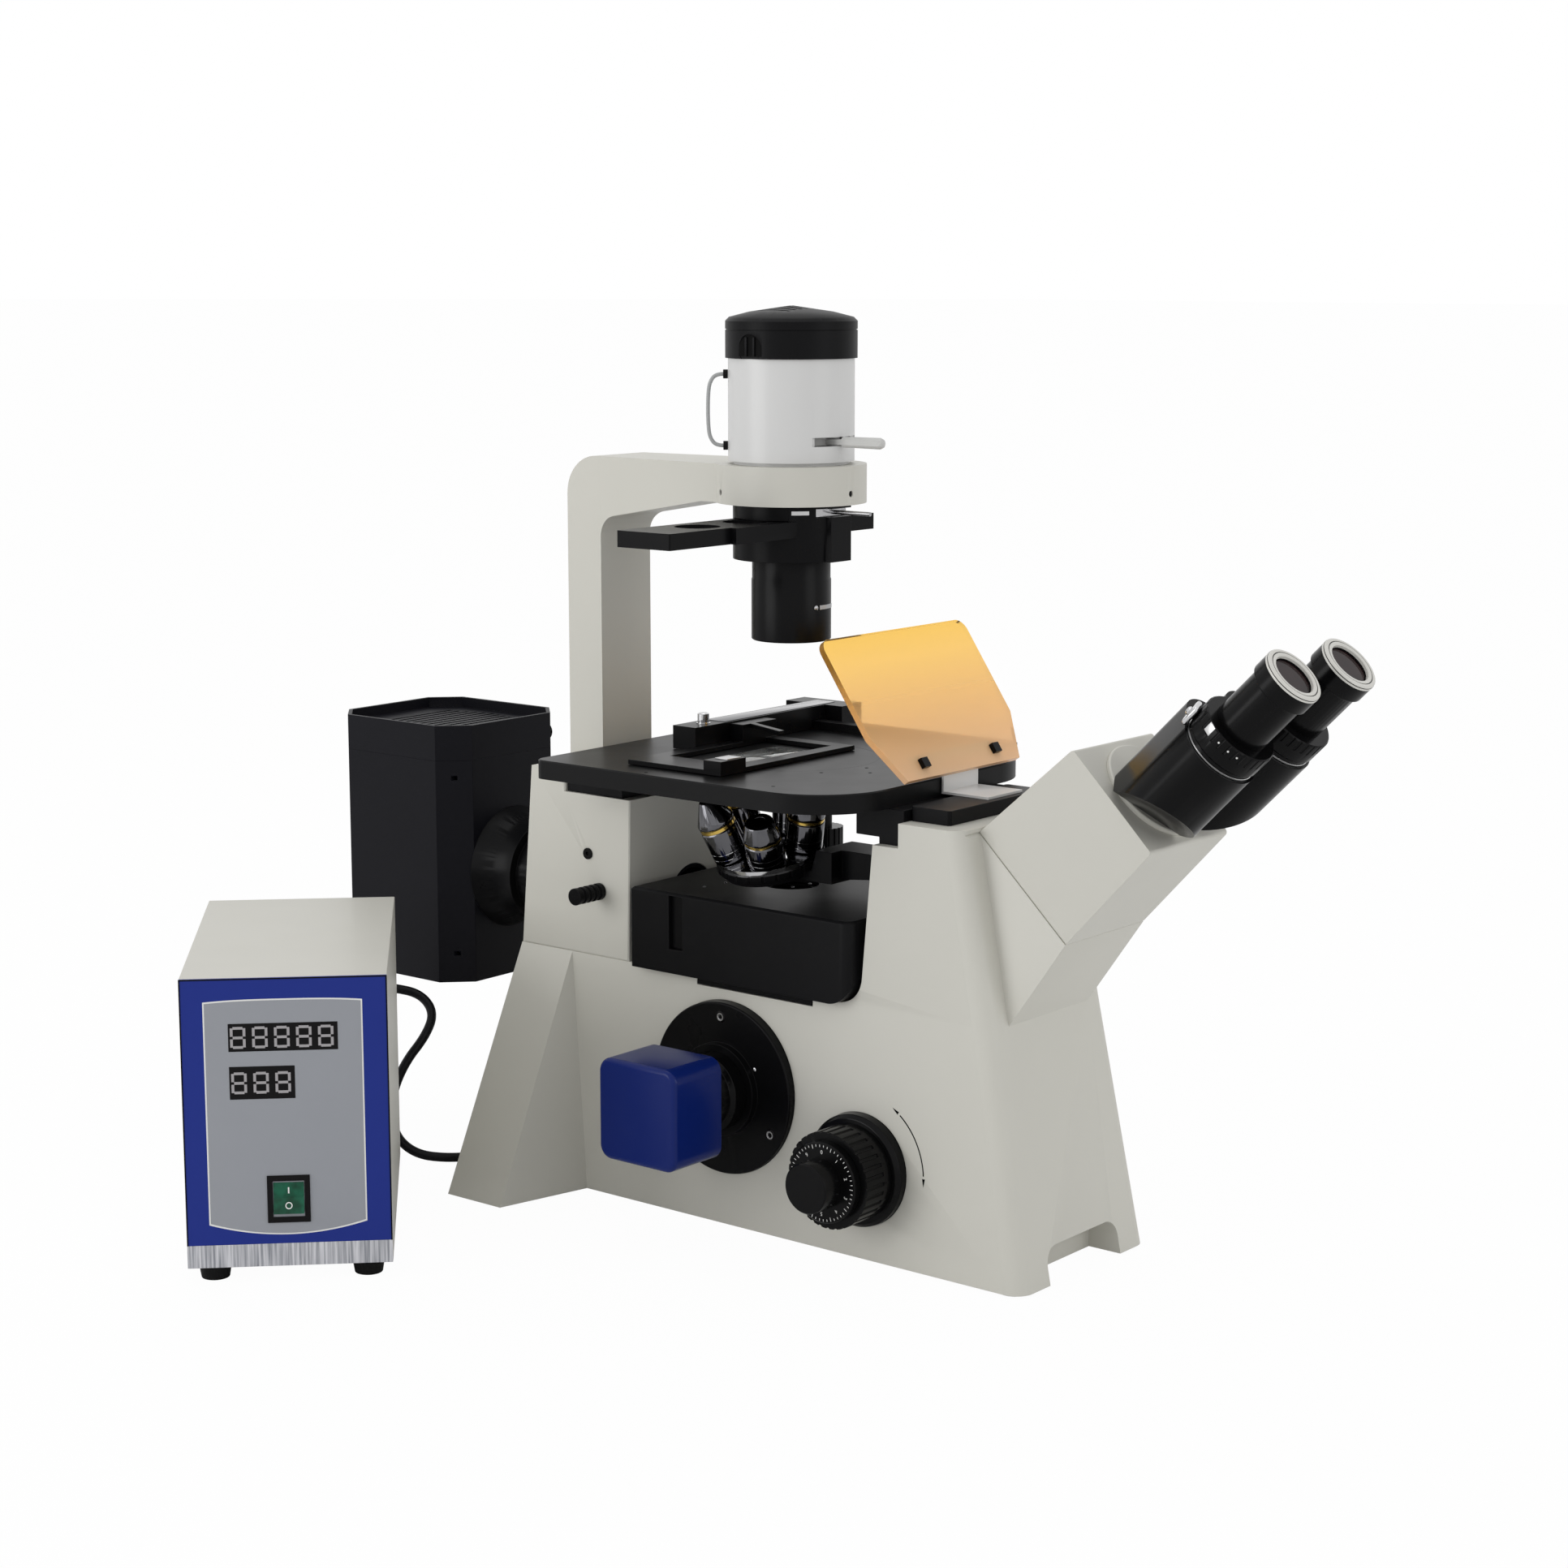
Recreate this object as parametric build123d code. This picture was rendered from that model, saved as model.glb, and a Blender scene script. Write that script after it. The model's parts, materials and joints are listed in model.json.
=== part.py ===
from build123d import *
import math
import os

# Inverted fluorescence microscope with its lamp supply, in millimetres.
# The optical axis is the Z axis and the bench is at zero height.
# The eyepieces face -Y, the lamp house is on the +Y side, and the camera port is on the -X side.

# Shared clearances
run_gap = 0.05
seat_gap = 0.3
cut_over = 5.0

# Stand casting
base_z = 1.5
base_half = 69.0
neck_half = 62.0
front_y = -228.0
column_front_y = -176.0
column_top_z = 272.0
shelf_y = -131.0
shelf_z = 257.0
column_back_y = -112.0
notch_front_y = -103.0
notch_corner_r = 18.0
deck_z = 157.0
back_y = 178.0
corner_r = 12.0
casting_wall = 7.0
upright_tolerance = 8.0
front_wall = 8.0
deck_t = 14.0
recess_depth = 6.0
recess_front_y = -67.0
recess_back_y = 26.0
foot_half = 135.0
foot_front_y = 131.0
waist_y = 116.0
hip_y = 133.0
front_arch_half = 38.0
front_arch_h = 22.0
front_arch_depth = 23.0
rear_arch_half = 88.0
rear_arch_h = 16.0
rear_arch_depth = 24.0
arch_r = 11.0
void_back_y = 150.0
void_top_z = 250.0
guide_half = 9.0
guide_low_z = 70.0
guide_top_z = 225.0
light_bore_r = 18.0

# Bottom plate, its optics post and the rubber feet
plate_t = 3.0
plate_rim = 2.5
post_half = 12.0
stand_foot_r = 11.0
stand_foot_recess = 2.0
stand_foot_inset = 14.0

# Rear housing of the fluorescence path
rear_front_y = 84.0
rear_top_front_y = 82.0
rear_top_back_y = 168.0
rear_top_z = 276.0
rear_shelf_y = 138.0
rear_shelf_z = 262.0
epi_z = 190.0
epi_bore_r = 22.0
groove = 0.8
plug_y = 118.0
plug_z = 223.5
plug_r = 3.7
plug_depth = 6.0
plug_proud = 1.2
pull_y = 108.0
pull_z = 200.0
pull_rod_r = 3.0
pull_knob_r = 5.5
pull_knob_len = 24.0
pull_knob_ribs = 4

# Pillar and arm of the transmitted light
arm_half = 24.0
arm_root_half = 34.0
pillar_front_y = 139.0
arm_top_z = 476.0
arm_depth = 40.0
ring_r = 47.0
ring_h = 24.0
ring_bore_r = 30.0
arm_corner_r = 25.0
arm_inner_r = 14.0
set_screw_r = 2.0
set_screw_drop = 17.0
set_screw_angles = (30.0, 150.0, 270.0)

# Transmitted lamp head
lamp_r = 39.3
lamp_neck_r = 36.0
lamp_neck_h = 2.0
lamp_h = 65.0
lamp_wall = 2.4
lamp_floor = 4.0
lamp_boss_h = 5.7
cap_r = 41.0
cap_side_h = 25.0
cap_dome_r = 26.0
cap_rise = 7.0
cap_seam = 0.7
cap_seam_rise = 17.0
vent_w = 2.2
vent_len = 26.0
vent_pitch = 6.0
vent_count = 7
louvre_w = 18.0
louvre_rise = 1.5
louvre_h = 9.0
louvre_depth = 1.2
louvre_pitch = 4.6
collector_r = 17.0
collector_t = 7.0
bulb_r = 6.0
bulb_h = 20.0
bulb_base_r = 9.0
bulb_base_h = 10.0
bulb_plate_t = 2.0
bulb_plate_drop = 7.0
lamp_ring_t = 5.0
lamp_ring_inner = 20.0
lamp_ring_outer = 30.0
field_lever_reach = 72.0
field_lever_w = 7.0
field_slot_half = 21.0

# Condenser
holder_r = 36.5
holder_h = 35.0
holder_bore_r = 22.5
slider_half = 21.0
slider_rise = 15.5
slider_t = 10.0
slider_left_x = -139.5
slider_right_x = 58.0
slider_hole_r = 14.0
slider_pitch = 45.0
slider_stops = 3
iris_rise = 28.0
iris_t = 4.6
iris_inner = 25.0
iris_outer = 34.0
iris_lever_r = 1.3
iris_lever_reach = 62.0
barrel_r = 25.0
barrel_len = 51.0
barrel_wall = 3.0
barrel_step = 0.8
barrel_neck = 13.0
condenser_lens_t = 9.0
boss_half = 10.0
boss_depth = 3.0
guide_rail_t = 4.0
guide_rail_left = -84.0

# Stage
stage_top_z = 291.0
stage_t = 12.0
stage_half_x = 110.0
stage_half_y = 120.0
stage_front_r = 50.0
stage_back_r = 8.0
stage_edge = 0.8
insert_r = 56.0
insert_t = 2.5
insert_ledge = 4.0
insert_hole_r = 14.0
support_half = 56.0
support_back_y = -95.0
support_under_z = 261.0
rear_support_front_y = 90.0
rear_support_half = 60.0
rear_support_step = 20.0
rear_support_drop = 8.0
rail_half = 50.0
rail_front_y = -160.0
rail_h = 9.0

# Mechanical stage
guide_x = 97.0
guide_w = 9.0
guide_h = 6.0
guide_end_y = 100.0
bar_left_x = -23.0
bar_y = 60.0
bar_w = 19.0
bar_h = 15.0
carriage_x = 110.6
carriage_w = 20.0
carriage_len = 48.0
carriage_drop = 30.0
stage_knob_drop = 70.0
stage_shaft_r = 4.0
y_knob_r = 14.0
x_knob_r = 11.0
stage_knob_h = 15.0
stage_knob_ribs = 20
holder_left_x = -88.0
holder_right_x = 45.0
holder_front_y = -16.0
holder_t = 3.0
window_margin = 11.0
holder_head_w = 34.0
holder_head_h = 14.0
clip_len = 24.0
clip_w = 14.0
clip_h = 9.0
finger_len = 46.0
finger_t = 2.5

# Light shield
shield_x = 14.0
shield_gap = 2.0
shield_bottom_y = -(stage_half_y + shield_gap)
shield_bottom_z = 292.0
shield_lean = 34.5
shield_half = 73.0
shield_bottom_half = 58.0
shield_bend = 31.6
shield_len = 99.0
shield_t = 4.0
shield_corner_r = 8.0
bracket_t = 1.5
bracket_half = 45.0
bracket_h = 16.0
stem_half = 18.0
bracket_foot = 24.0
shield_screw_x = 37.0
shield_screw_w = 9.0
shield_screw_half = 3.2

# Nosepiece, turret and objectives
turret_tilt = 15.0
seat_circle_r = 23.5
shoulder_z = 243.0
dome_r = 33.0
dome_base_z = 231.0
turret_bore_r = 8.0
grip_r = 34.5
grip_h = 4.0
grip_flutes = 24
flute_r = 1.2
pivot_r = 5.0
pivot_h = 7.0
carrier_r = 31.0
carrier_t = 4.0
arm_w_half = 14.0
carrier_arm_top_z = 239.0
carrier_arm_low_z = 219.0
carrier_step_y = -38.0
carrier_tip_low_z = 228.0
carrier_post_back_y = -121.0
carrier_post_t = 14.0
carrier_post_low_z = 44.0
slot_margin = 8.0
objective_r = 12.0
objective_lengths = (42.0, 40.0, 42.0, 31.0, 36.0)
objective_nose_rs = (7.0, 6.0, 5.0, 9.0, 8.0)
objective_thread_r = 9.0
objective_barrel_share = 0.52
objective_ring_share = 0.60
lift_down = 5.0
lift_up = 3.0

# Focus drive
focus_y = -107.0
focus_z = 57.0
collar_seat_x = 64.5
collar_r = 35.0
collar_out_x = 74.0
coarse_r = 30.0
coarse_out_x = 98.0
coarse_ribs = 32
rib_r = 1.3
fine_ring_r = 25.0
fine_ring_out_x = 104.0
fine_r = 15.5
fine_out_x = 120.0
hollow_shaft_r = 5.0
fine_shaft_r = 3.0
gear_module = 1.0
pinion_teeth = 12
pinion_half_w = 7.0
rack_teeth = 9
rack_half_w = 9.0
tooth_share = 0.38
gear_bottom_gap = 0.45

# Fluorescence filter box
box_half = 70.0
box_front_y = -101.0
box_back_y = 74.0
box_top_z = 209.0
box_corner_r = 17.0
box_edge_r = 3.0
box_plan_r = 8.0
cube_half = 20.0
cube_low_z = 166.0
cube_wall = 3.0
dichroic_t = 1.5
slide_y = 37.0
slide_t = 10.4
slide_low_z = 173.0
slide_top_z = 207.0
slide_left_x = -67.0
slide_right_x = 48.0
slide_window_r = 12.0
slide_pitch = 32.0

# Lamp house and its snout
snout_r = 28.0
snout_ring_r = 34.0
snout_ring_y = 216.0
snout_ring_w = 12.0
snout_flare_r = 42.0
snout_wall = 3.0
house_front_y = 245.0
house_back_y = 365.0
house_half = 56.0
house_chamfer = 17.7
house_low_z = 115.0
house_lid_z = 268.0
house_top_z = 292.0
house_wall = 2.5
house_floor = 4.0
grille_drop = 7.0
grille_t = 2.0
grille_slot = 3.0
grille_pitch = 7.0
grille_count = 11
grille_margin = 12.0
arc_lamp_y = 305.0
arc_lamp_r = 8.0
arc_lamp_h = 70.0
arc_base_r = 14.0
arc_base_h = 18.0
house_knob_y = 257.0
house_knob_z = 266.0
house_knob_r = 6.0
house_knob_len = 9.0
house_knob_ribs = 12
house_knob_shaft = 2.5

# Binocular head, side outline given as (y, z)
head_half = 42.0
head_rear_top = (-175.0, 269.0)
head_front_top = (-240.0, 325.0)
head_front_low = (-294.0, 271.0)
head_rear_low = (-237.0, 210.0)
bracket_root = (-198.0, 155.0)
bracket_inner = (-150.0, 140.0)
head_edge_r = 2.5
head_bore_r = 15.0
head_seam = 0.8
disc_r = 32.5
disc_t = 3.0
eye_x = 31.0
eye_drop = 20.0
housing_r = 24.5
housing_heel_x = 21.0
housing_heel_r = 15.0
housing_len = 66.0
housing_step_r = 22.5
housing_step = 3.5
facet_turn = 37.5
facet_inset = 8.1
facet_rise = 28.0
prism_bore_r = 9.0
fold_in = 12.0
fold_out = 20.0
diopter_r = 23.5
diopter_h = 15.0
diopter_ribs = 30
eye_tube_r = 16.5
eye_tube_wall = 2.0
eye_top = 134.0
eye_rim_r = 18.4
eye_rim_h = 13.0
eye_lens_r = 12.5
eye_lens_t = 4.0
eye_cup_depth = 2.5

# Camera port and camera
port_z = 89.5
flange_r = 55.0
flange_seat_x = 62.0
flange_out_x = 70.0
port_bore_r = 19.0
flange_boss_r = 29.5
flange_boss_h = 5.0
flange_screw_circle = 46.0
flange_screw_r = 3.0
adapter_r = 25.0
adapter_mid_r = 22.0
adapter_neck_r = 17.0
camera_near_x = 106.0
camera_far_x = 150.0
camera_half_y = 31.0
camera_half_z = 32.0
camera_corner_r = 9.0
camera_edge_r = 3.5

# Lamp supply
supply_x = -312.75
supply_y = 130.8
supply_turn = -45.0
supply_half = 60.5
supply_depth = 225.0
supply_low_z = 10.0
supply_top_z = 186.0
supply_wall = 1.5
panel_t = 2.0
strip_h = 14.0
supply_foot_r = 10.0
supply_foot_inset = 15.0
window_left = -32.7
window_right = 31.2
window_low = 142.0
window_high = 159.0
small_window_right = 5.6
small_window_low = 113.0
small_window_high = 133.0
rocker_frame_half = 12.6
rocker_frame_low = 37.0
rocker_frame_high = 66.0
rocker_half = 9.0
rocker_h = 19.0
fitting_proud = 1.2
fitting_deep = 6.0
rocker_tilt = 7.0
ballast_half = 34.0
ballast_len = 110.0
ballast_h = 70.0
inlet_half = 14.0
inlet_h = 20.0
inlet_z = 40.0
inlet_side = -25.0
inlet_deep = 12.0

# Cables and their glands
cable_r = 3.1
gland_r = 6.0
gland_len = 12.0
gland_tip_share = 0.7
lead_r = 1.2
lead_gland_r = 2.8
lead_gland_len = 3.0
lead_angle = 130.0
lead_high_drop = 10.0
lead_low_rise = 11.0
lead_straight = 3.0
lead_bend = 6.8
lead_reach = 9.4
lead_bend_drop = 2.2
lead_side_drop = 9.0
house_gland_x = 35.0
house_gland_y = 266.0
supply_gland_side = 28.0
supply_gland_z = 116.0
cable_start_len = 16.0
cable_bends = [
    (-95.5, 292.5, 115.0), (-78.5, 283.5, 112.5), (-68.0, 268.5, 108.5), (-68.5, 255.5, 97.5),
    (-80.0, 252.5, 84.0), (-94.0, 259.0, 67.0), (-102.5, 264.0, 44.0), (-104.7, 260.2, 20.0),
    (-97.6, 247.5, 6.5), (-83.4, 230.5, 3.4), (-62.0, 216.0, 3.4), (-34.0, 206.0, 3.4), (-4.0, 204.0, 3.4),
    (22.0, 212.0, 5.0), (38.0, 226.0, 14.0), (45.0, 243.0, 30.0), (44.0, 257.0, 51.0), (35.0, 266.0, 78.0),
]


def block(x0, x1, y0, y1, z0, z1):
    place = Pos((x0 + x1) / 2, (y0 + y1) / 2, (z0 + z1) / 2)
    return place * Box(x1 - x0, y1 - y0, z1 - z0)


def slab_x(points, x0, x1):
    return extrude(Plane.YZ.offset(x0) * Polygon(*points, align=None), x1 - x0, dir=(1, 0, 0))


def slab_y(points, y0, y1):
    return extrude(Plane.XZ.offset(-y0) * Polygon(*points, align=None), y1 - y0, dir=(0, 1, 0))


def slab_z(points, z0, z1):
    return extrude(Plane.XY.offset(z0) * Polygon(*points, align=None), z1 - z0, dir=(0, 0, 1))


def rod_x(y, z, r, x0, x1):
    return extrude(Plane.YZ.offset(x0) * Pos(y, z) * Circle(r), x1 - x0)


def rod_y(x, z, r, y0, y1):
    return extrude(Plane.XZ.offset(-y1) * Pos(x, z) * Circle(r), y1 - y0)


def rod_z(x, y, r, z0, z1):
    return extrude(Plane.XY.offset(z0) * Pos(x, y) * Circle(r), z1 - z0)


def turned(points):
    return revolve(Plane.XZ * Polygon(*points, align=None), Axis.Z)


def nearest_edge(shape, y, z):
    edges = shape.edges().filter_by(Axis.X)
    return edges.sort_by(lambda edge: (edge.center() - Vector(0, y, z)).length)[0]


def group(*solids):
    return Compound(children=[solid for shape in solids for solid in shape.solids()])


# Frames that several pieces share
tilt = math.radians(turret_tilt)
apex_len = seat_circle_r / math.sin(tilt)
apex_z = shoulder_z - apex_len
turret_axis = Vector(-math.sin(tilt), 0, math.cos(tilt))
turret_frame = Plane(origin=(0, 0, apex_z), x_dir=(math.cos(tilt), 0, math.sin(tilt)), z_dir=turret_axis)
dome_base = (dome_base_z - apex_z) / math.cos(tilt)
grip_base = dome_base - grip_h
carrier_base = grip_base - seat_gap - carrier_t
face_mid_y = (head_front_top[0] + head_front_low[0]) / 2
face_mid_z = (head_front_top[1] + head_front_low[1]) / 2
head_frame = Plane(origin=(0, face_mid_y, face_mid_z), x_dir=(1, 0, 0), z_dir=(0, -1, 1))
supply_place = Location((supply_x, supply_y, 0), (0, 0, supply_turn))
shield_frame = Plane(
    origin=(shield_x, shield_bottom_y, shield_bottom_z),
    x_dir=(1, 0, 0),
    z_dir=(0, -math.cos(math.radians(shield_lean)), math.sin(math.radians(shield_lean))),
)
pitch_r = gear_module * pinion_teeth / 2
stage_low_z = stage_top_z - stage_t

# Heights that follow the arm
arm_low_z = arm_top_z - arm_depth
ring_low_z = arm_top_z - ring_h
set_screw_z = arm_top_z - set_screw_drop
lamp_top_z = arm_top_z + lamp_h
cap_shoulder_z = lamp_top_z + cap_side_h
cap_top_z = cap_shoulder_z + cap_rise
cap_seam_z = lamp_top_z + cap_seam_rise
louvre_low_z = lamp_top_z + louvre_rise
bulb_plate_z = lamp_top_z - bulb_plate_drop
lead_high_z = lamp_top_z - lead_high_drop
lead_low_z = arm_top_z + lead_low_rise
holder_low_z = ring_low_z - holder_h
slider_low_z = holder_low_z + slider_rise
iris_low_z = holder_low_z + iris_rise
barrel_low_z = holder_low_z - barrel_len
barrel_step_z = holder_low_z - barrel_neck


def front_line(z):
    return front_y + (column_front_y - front_y) * (z - base_z) / (column_top_z - base_z)


def drafted(inset, y0, y1):
    wide = base_half - inset
    narrow = neck_half - inset
    outline = [(-wide, 0), (wide, 0), (narrow, deck_z), (narrow, column_top_z)]
    outline += [(-narrow, column_top_z), (-narrow, deck_z)]
    return slab_y(outline, y0, y1)


def rounded_plan(z):
    half = neck_half + (base_half - neck_half) * max(0, 1 - z / deck_z)
    front = front_line(z)
    plan = Pos(0, (front + back_y) / 2) * Rectangle(2 * half, back_y - front)
    return Plane.XY.offset(z) * fillet(plan.vertices().sort_by(Axis.Y)[:2], corner_r)


def rounded_block(z0, z1):
    return loft([rounded_plan(z0), rounded_plan(z1)], ruled=True)


def rear_leg():
    outline = [(-foot_half, base_z), (foot_half, base_z), (neck_half, deck_z), (-neck_half, deck_z)]
    leg = slab_y(outline, waist_y - rear_support_step, back_y)
    for side in (-1, 1):
        top = Vector(side * neck_half, hip_y, deck_z)
        toe = Vector(side * foot_half, foot_front_y, base_z)
        waist = Vector(side * base_half, waist_y, base_z)
        normal = (toe - top).cross(waist - top) * side
        leg = split(leg, bisect_by=Plane(origin=top, z_dir=normal), keep=Keep.TOP)
    return leg


def arch(half, height, y0, y1):
    sketch = RectangleRounded(2 * half, 2 * height, arch_r)
    return extrude(Plane.XZ.offset(-y1) * Pos(0, base_z) * sketch, y1 - y0)


def stand_foot_places():
    front = (base_half - stand_foot_inset, front_y + stand_foot_inset)
    rear = (foot_half - stand_foot_inset * 2, back_y - stand_foot_inset * 2)
    return [(side * x, y) for x, y in (front, rear) for side in (-1, 1)]


def stand_casting():
    outline = [(front_y, base_z), (column_front_y, column_top_z), (shelf_y, column_top_z)]
    outline += [(shelf_y, shelf_z), (column_back_y, shelf_z), (notch_front_y, deck_z)]
    outline += [(back_y, deck_z), (back_y, base_z)]
    body = slab_x(outline, -base_half, base_half)
    body = fillet(nearest_edge(body, notch_front_y, deck_z), notch_corner_r)
    body &= rounded_block(0, deck_z) + rounded_block(deck_z, column_top_z)
    body += rear_leg()
    bracket = [head_rear_top, head_rear_low, bracket_root, bracket_inner]
    bracket += [(bracket_inner[0], head_rear_top[1])]
    body += slab_x(bracket, -head_half, head_half)
    body -= slab_x([head_rear_top, head_front_top, head_front_low, head_rear_low], -foot_half, foot_half)
    body -= arch(front_arch_half, front_arch_h, front_y - cut_over, front_y + front_arch_depth)
    body -= arch(rear_arch_half, rear_arch_h, back_y - rear_arch_depth, back_y + cut_over)
    body -= block(-base_half, base_half, recess_front_y, recess_back_y,
                  deck_z - recess_depth, deck_z + cut_over)
    body -= stand_void()
    for side in (-1, 1):
        seat = sorted((side * collar_seat_x, side * foot_half))
        body -= rod_x(focus_y, focus_z, collar_r + seat_gap, *seat)
    body -= rod_x(focus_y, focus_z, hollow_shaft_r * 2, -foot_half, foot_half)
    body -= rod_x(0, port_z, flange_r + seat_gap, -foot_half, -flange_seat_x)
    body -= rod_x(0, port_z, port_bore_r, -foot_half, 0)
    body -= rod_z(0, 0, light_bore_r, deck_z - deck_t - cut_over, deck_z)
    slot_low = carrier_tip_low_z - lift_down - slot_margin
    slot_high = carrier_arm_top_z + lift_up + slot_margin / 2
    slot_half = arm_w_half + seat_gap * 4
    slot_front = carrier_post_back_y - casting_wall
    body -= block(-slot_half, slot_half, slot_front, notch_front_y, slot_low, slot_high)
    seat_mid_y = (head_rear_top[0] + head_rear_low[0]) / 2
    seat_mid_z = (head_rear_top[1] + head_rear_low[1]) / 2
    seat = Plane(origin=(0, seat_mid_y, seat_mid_z), x_dir=(1, 0, 0), z_dir=(0, 1, -1))
    body -= extrude(seat * Circle(head_bore_r), head_half)
    for x, y in stand_foot_places():
        body -= rod_z(x, y, stand_foot_r + seat_gap, 0, base_z + stand_foot_recess)
    guide = block(-guide_half, guide_half, front_line(guide_low_z) + front_wall / 2,
                  carrier_post_back_y - carrier_post_t - seat_gap, guide_low_z, guide_top_z)
    guide &= slab_x([(front_line(0), 0), (front_line(column_top_z), column_top_z), (0, column_top_z), (0, 0)],
                    -guide_half, guide_half)
    return body + guide


def stand_void():
    arch_top = front_arch_h + front_wall + base_z
    inner_front = front_y + front_arch_depth + front_wall
    low_back = notch_front_y - front_wall
    outline = [(inner_front, 0), (inner_front, arch_top), (front_line(arch_top) + front_wall, arch_top)]
    outline += [(front_line(void_top_z) + front_wall, void_top_z), (column_back_y - casting_wall, void_top_z)]
    outline += [(low_back, deck_z), (low_back, deck_z - deck_t), (void_back_y, deck_z - deck_t)]
    outline += [(void_back_y, 0)]
    void = slab_x(outline, -base_half, base_half) & drafted(casting_wall, front_y, back_y)
    rim_half = base_half - casting_wall + plate_rim
    rim_front = inner_front - plate_rim
    return void + block(-rim_half, rim_half, rim_front, void_back_y + plate_rim, 0, base_z + plate_t)


def base_plate():
    rim_half = base_half - casting_wall + plate_rim - seat_gap
    front = front_y + front_arch_depth + front_wall - plate_rim + seat_gap
    back = void_back_y + plate_rim - seat_gap
    plate = block(-rim_half, rim_half, front, back, base_z, base_z + plate_t)
    post = block(-post_half, post_half, -post_half, post_half, base_z, port_z - post_half * 1.5)
    return plate + post


def rubber_feet():
    feet = [rod_z(x, y, stand_foot_r, 0, base_z + stand_foot_recess) for x, y in stand_foot_places()]
    x = supply_half - supply_foot_inset
    outline = [(0, 0), (supply_foot_r - groove * 2, 0), (supply_foot_r, supply_low_z), (0, supply_low_z)]
    for y in (supply_foot_inset, supply_depth - supply_foot_inset):
        for side in (-1, 1):
            feet.append(supply_place * (Pos(side * x, y, 0) * turned(outline)))
    return group(*feet)


def optics():
    return group(*stand_optics(), *lamp_optics())


def stand_optics():
    tube_lens = rod_z(0, 0, light_bore_r - run_gap * 2, deck_z - deck_t, deck_z - recess_depth - run_gap)
    splitter_half = post_half * 1.5
    splitter = block(-splitter_half, splitter_half, -splitter_half, splitter_half,
                     port_z - splitter_half, port_z + splitter_half)
    inner = cube_half - cube_wall
    mid_z = cube_low_z + cube_half
    mirror_plate = Box(2 * inner, 2 * inner, dichroic_t)
    dichroic = Pos(0, 0, mid_z) * Rot(45, 0, 0) * mirror_plate
    return tube_lens, splitter, dichroic


def rear_housing():
    outline = [(rear_front_y, deck_z), (back_y, deck_z), (rear_top_back_y, rear_top_z)]
    outline += [(rear_shelf_y, rear_top_z), (rear_shelf_y, rear_shelf_z), (rear_top_front_y, rear_shelf_z)]
    body = slab_x(outline, -neck_half, neck_half)
    uprights = body.edges().filter_by(Axis.Z, tolerance=upright_tolerance)
    edges = [edge for edge in uprights if abs(edge.center().X) > arm_half]
    body = chamfer(edges, groove)
    body -= block(-foot_half, -neck_half + groove, 0, foot_half * 2, deck_z, deck_z + groove)
    body -= block(neck_half - groove, foot_half, 0, foot_half * 2, deck_z, deck_z + groove)
    body -= rod_y(0, epi_z, epi_bore_r, 0, back_y + cut_over)
    body -= rod_x(plug_y, plug_z, plug_r, -foot_half, -neck_half + plug_depth)
    body -= rod_x(pull_y, pull_z, pull_rod_r + run_gap, -foot_half, 0)
    return body


def pull_rod():
    knob_end = -neck_half - seat_gap - pull_knob_len
    rod = rod_x(pull_y, pull_z, pull_rod_r, knob_end, -epi_bore_r - seat_gap)
    knob = rod_x(pull_y, pull_z, pull_knob_r, knob_end, -neck_half - seat_gap)
    pitch = pull_knob_len / (pull_knob_ribs + 1)
    for index in range(pull_knob_ribs):
        x = knob_end + pitch * (index + 1)
        ring = rod_x(pull_y, pull_z, pull_knob_r + cut_over, x - pitch / 4, x + pitch / 4)
        knob -= ring - rod_x(pull_y, pull_z, pull_knob_r - groove, x - pitch, x + pitch)
    return rod + knob


def illumination_arm():
    outline = [(rear_top_back_y, rear_top_z), (rear_top_back_y, arm_top_z), (-ring_r, arm_top_z)]
    outline += [(-ring_r, ring_low_z), (ring_r, ring_low_z), (pillar_front_y, arm_low_z)]
    outline += [(pillar_front_y, rear_top_z)]
    arm = slab_x(outline, -ring_r, ring_r)
    arm = fillet(nearest_edge(arm, rear_top_back_y, arm_top_z), arm_corner_r)
    arm = fillet(nearest_edge(arm, pillar_front_y, arm_low_z), arm_inner_r)
    side = [(arm_half, rear_top_back_y), (arm_half, pillar_front_y), (arm_root_half, ring_r / 2)]
    side += [(-x, y) for x, y in reversed(side)]
    plan = slab_z(side, 0, arm_top_z) + rod_z(0, 0, ring_r, 0, arm_top_z)
    arm &= plan
    arm -= rod_z(0, 0, ring_bore_r, 0, arm_top_z + cut_over)
    for angle in set_screw_angles:
        arm -= Rot(0, 0, angle) * rod_x(0, set_screw_z, set_screw_r, ring_bore_r, ring_r * 2)
    return arm


def lamp_shell():
    neck_top = arm_top_z + lamp_neck_h
    ring_low = neck_top + lamp_floor + lamp_boss_h
    shell = turned([
        (collector_r - lamp_wall, arm_top_z), (lamp_neck_r, arm_top_z), (lamp_neck_r, neck_top),
        (lamp_r, neck_top), (lamp_r, lamp_top_z), (lamp_r - lamp_wall, lamp_top_z),
        (lamp_r - lamp_wall, neck_top + lamp_floor), (lamp_ring_outer, neck_top + lamp_floor),
        (lamp_ring_outer, ring_low), (collector_r + run_gap, ring_low),
        (collector_r + run_gap, neck_top), (collector_r - lamp_wall, neck_top),
    ])
    shell -= block(-field_slot_half, field_slot_half, -cap_r, -lamp_ring_outer - lamp_wall,
                   ring_low + seat_gap, ring_low + lamp_ring_t + seat_gap * 3)
    turn = Rot(0, 0, lead_angle)
    for z in (lead_high_z, lead_low_z):
        shell -= turn * rod_x(0, z, lead_gland_r - groove, lamp_neck_r, cap_r)
    return shell


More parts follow.
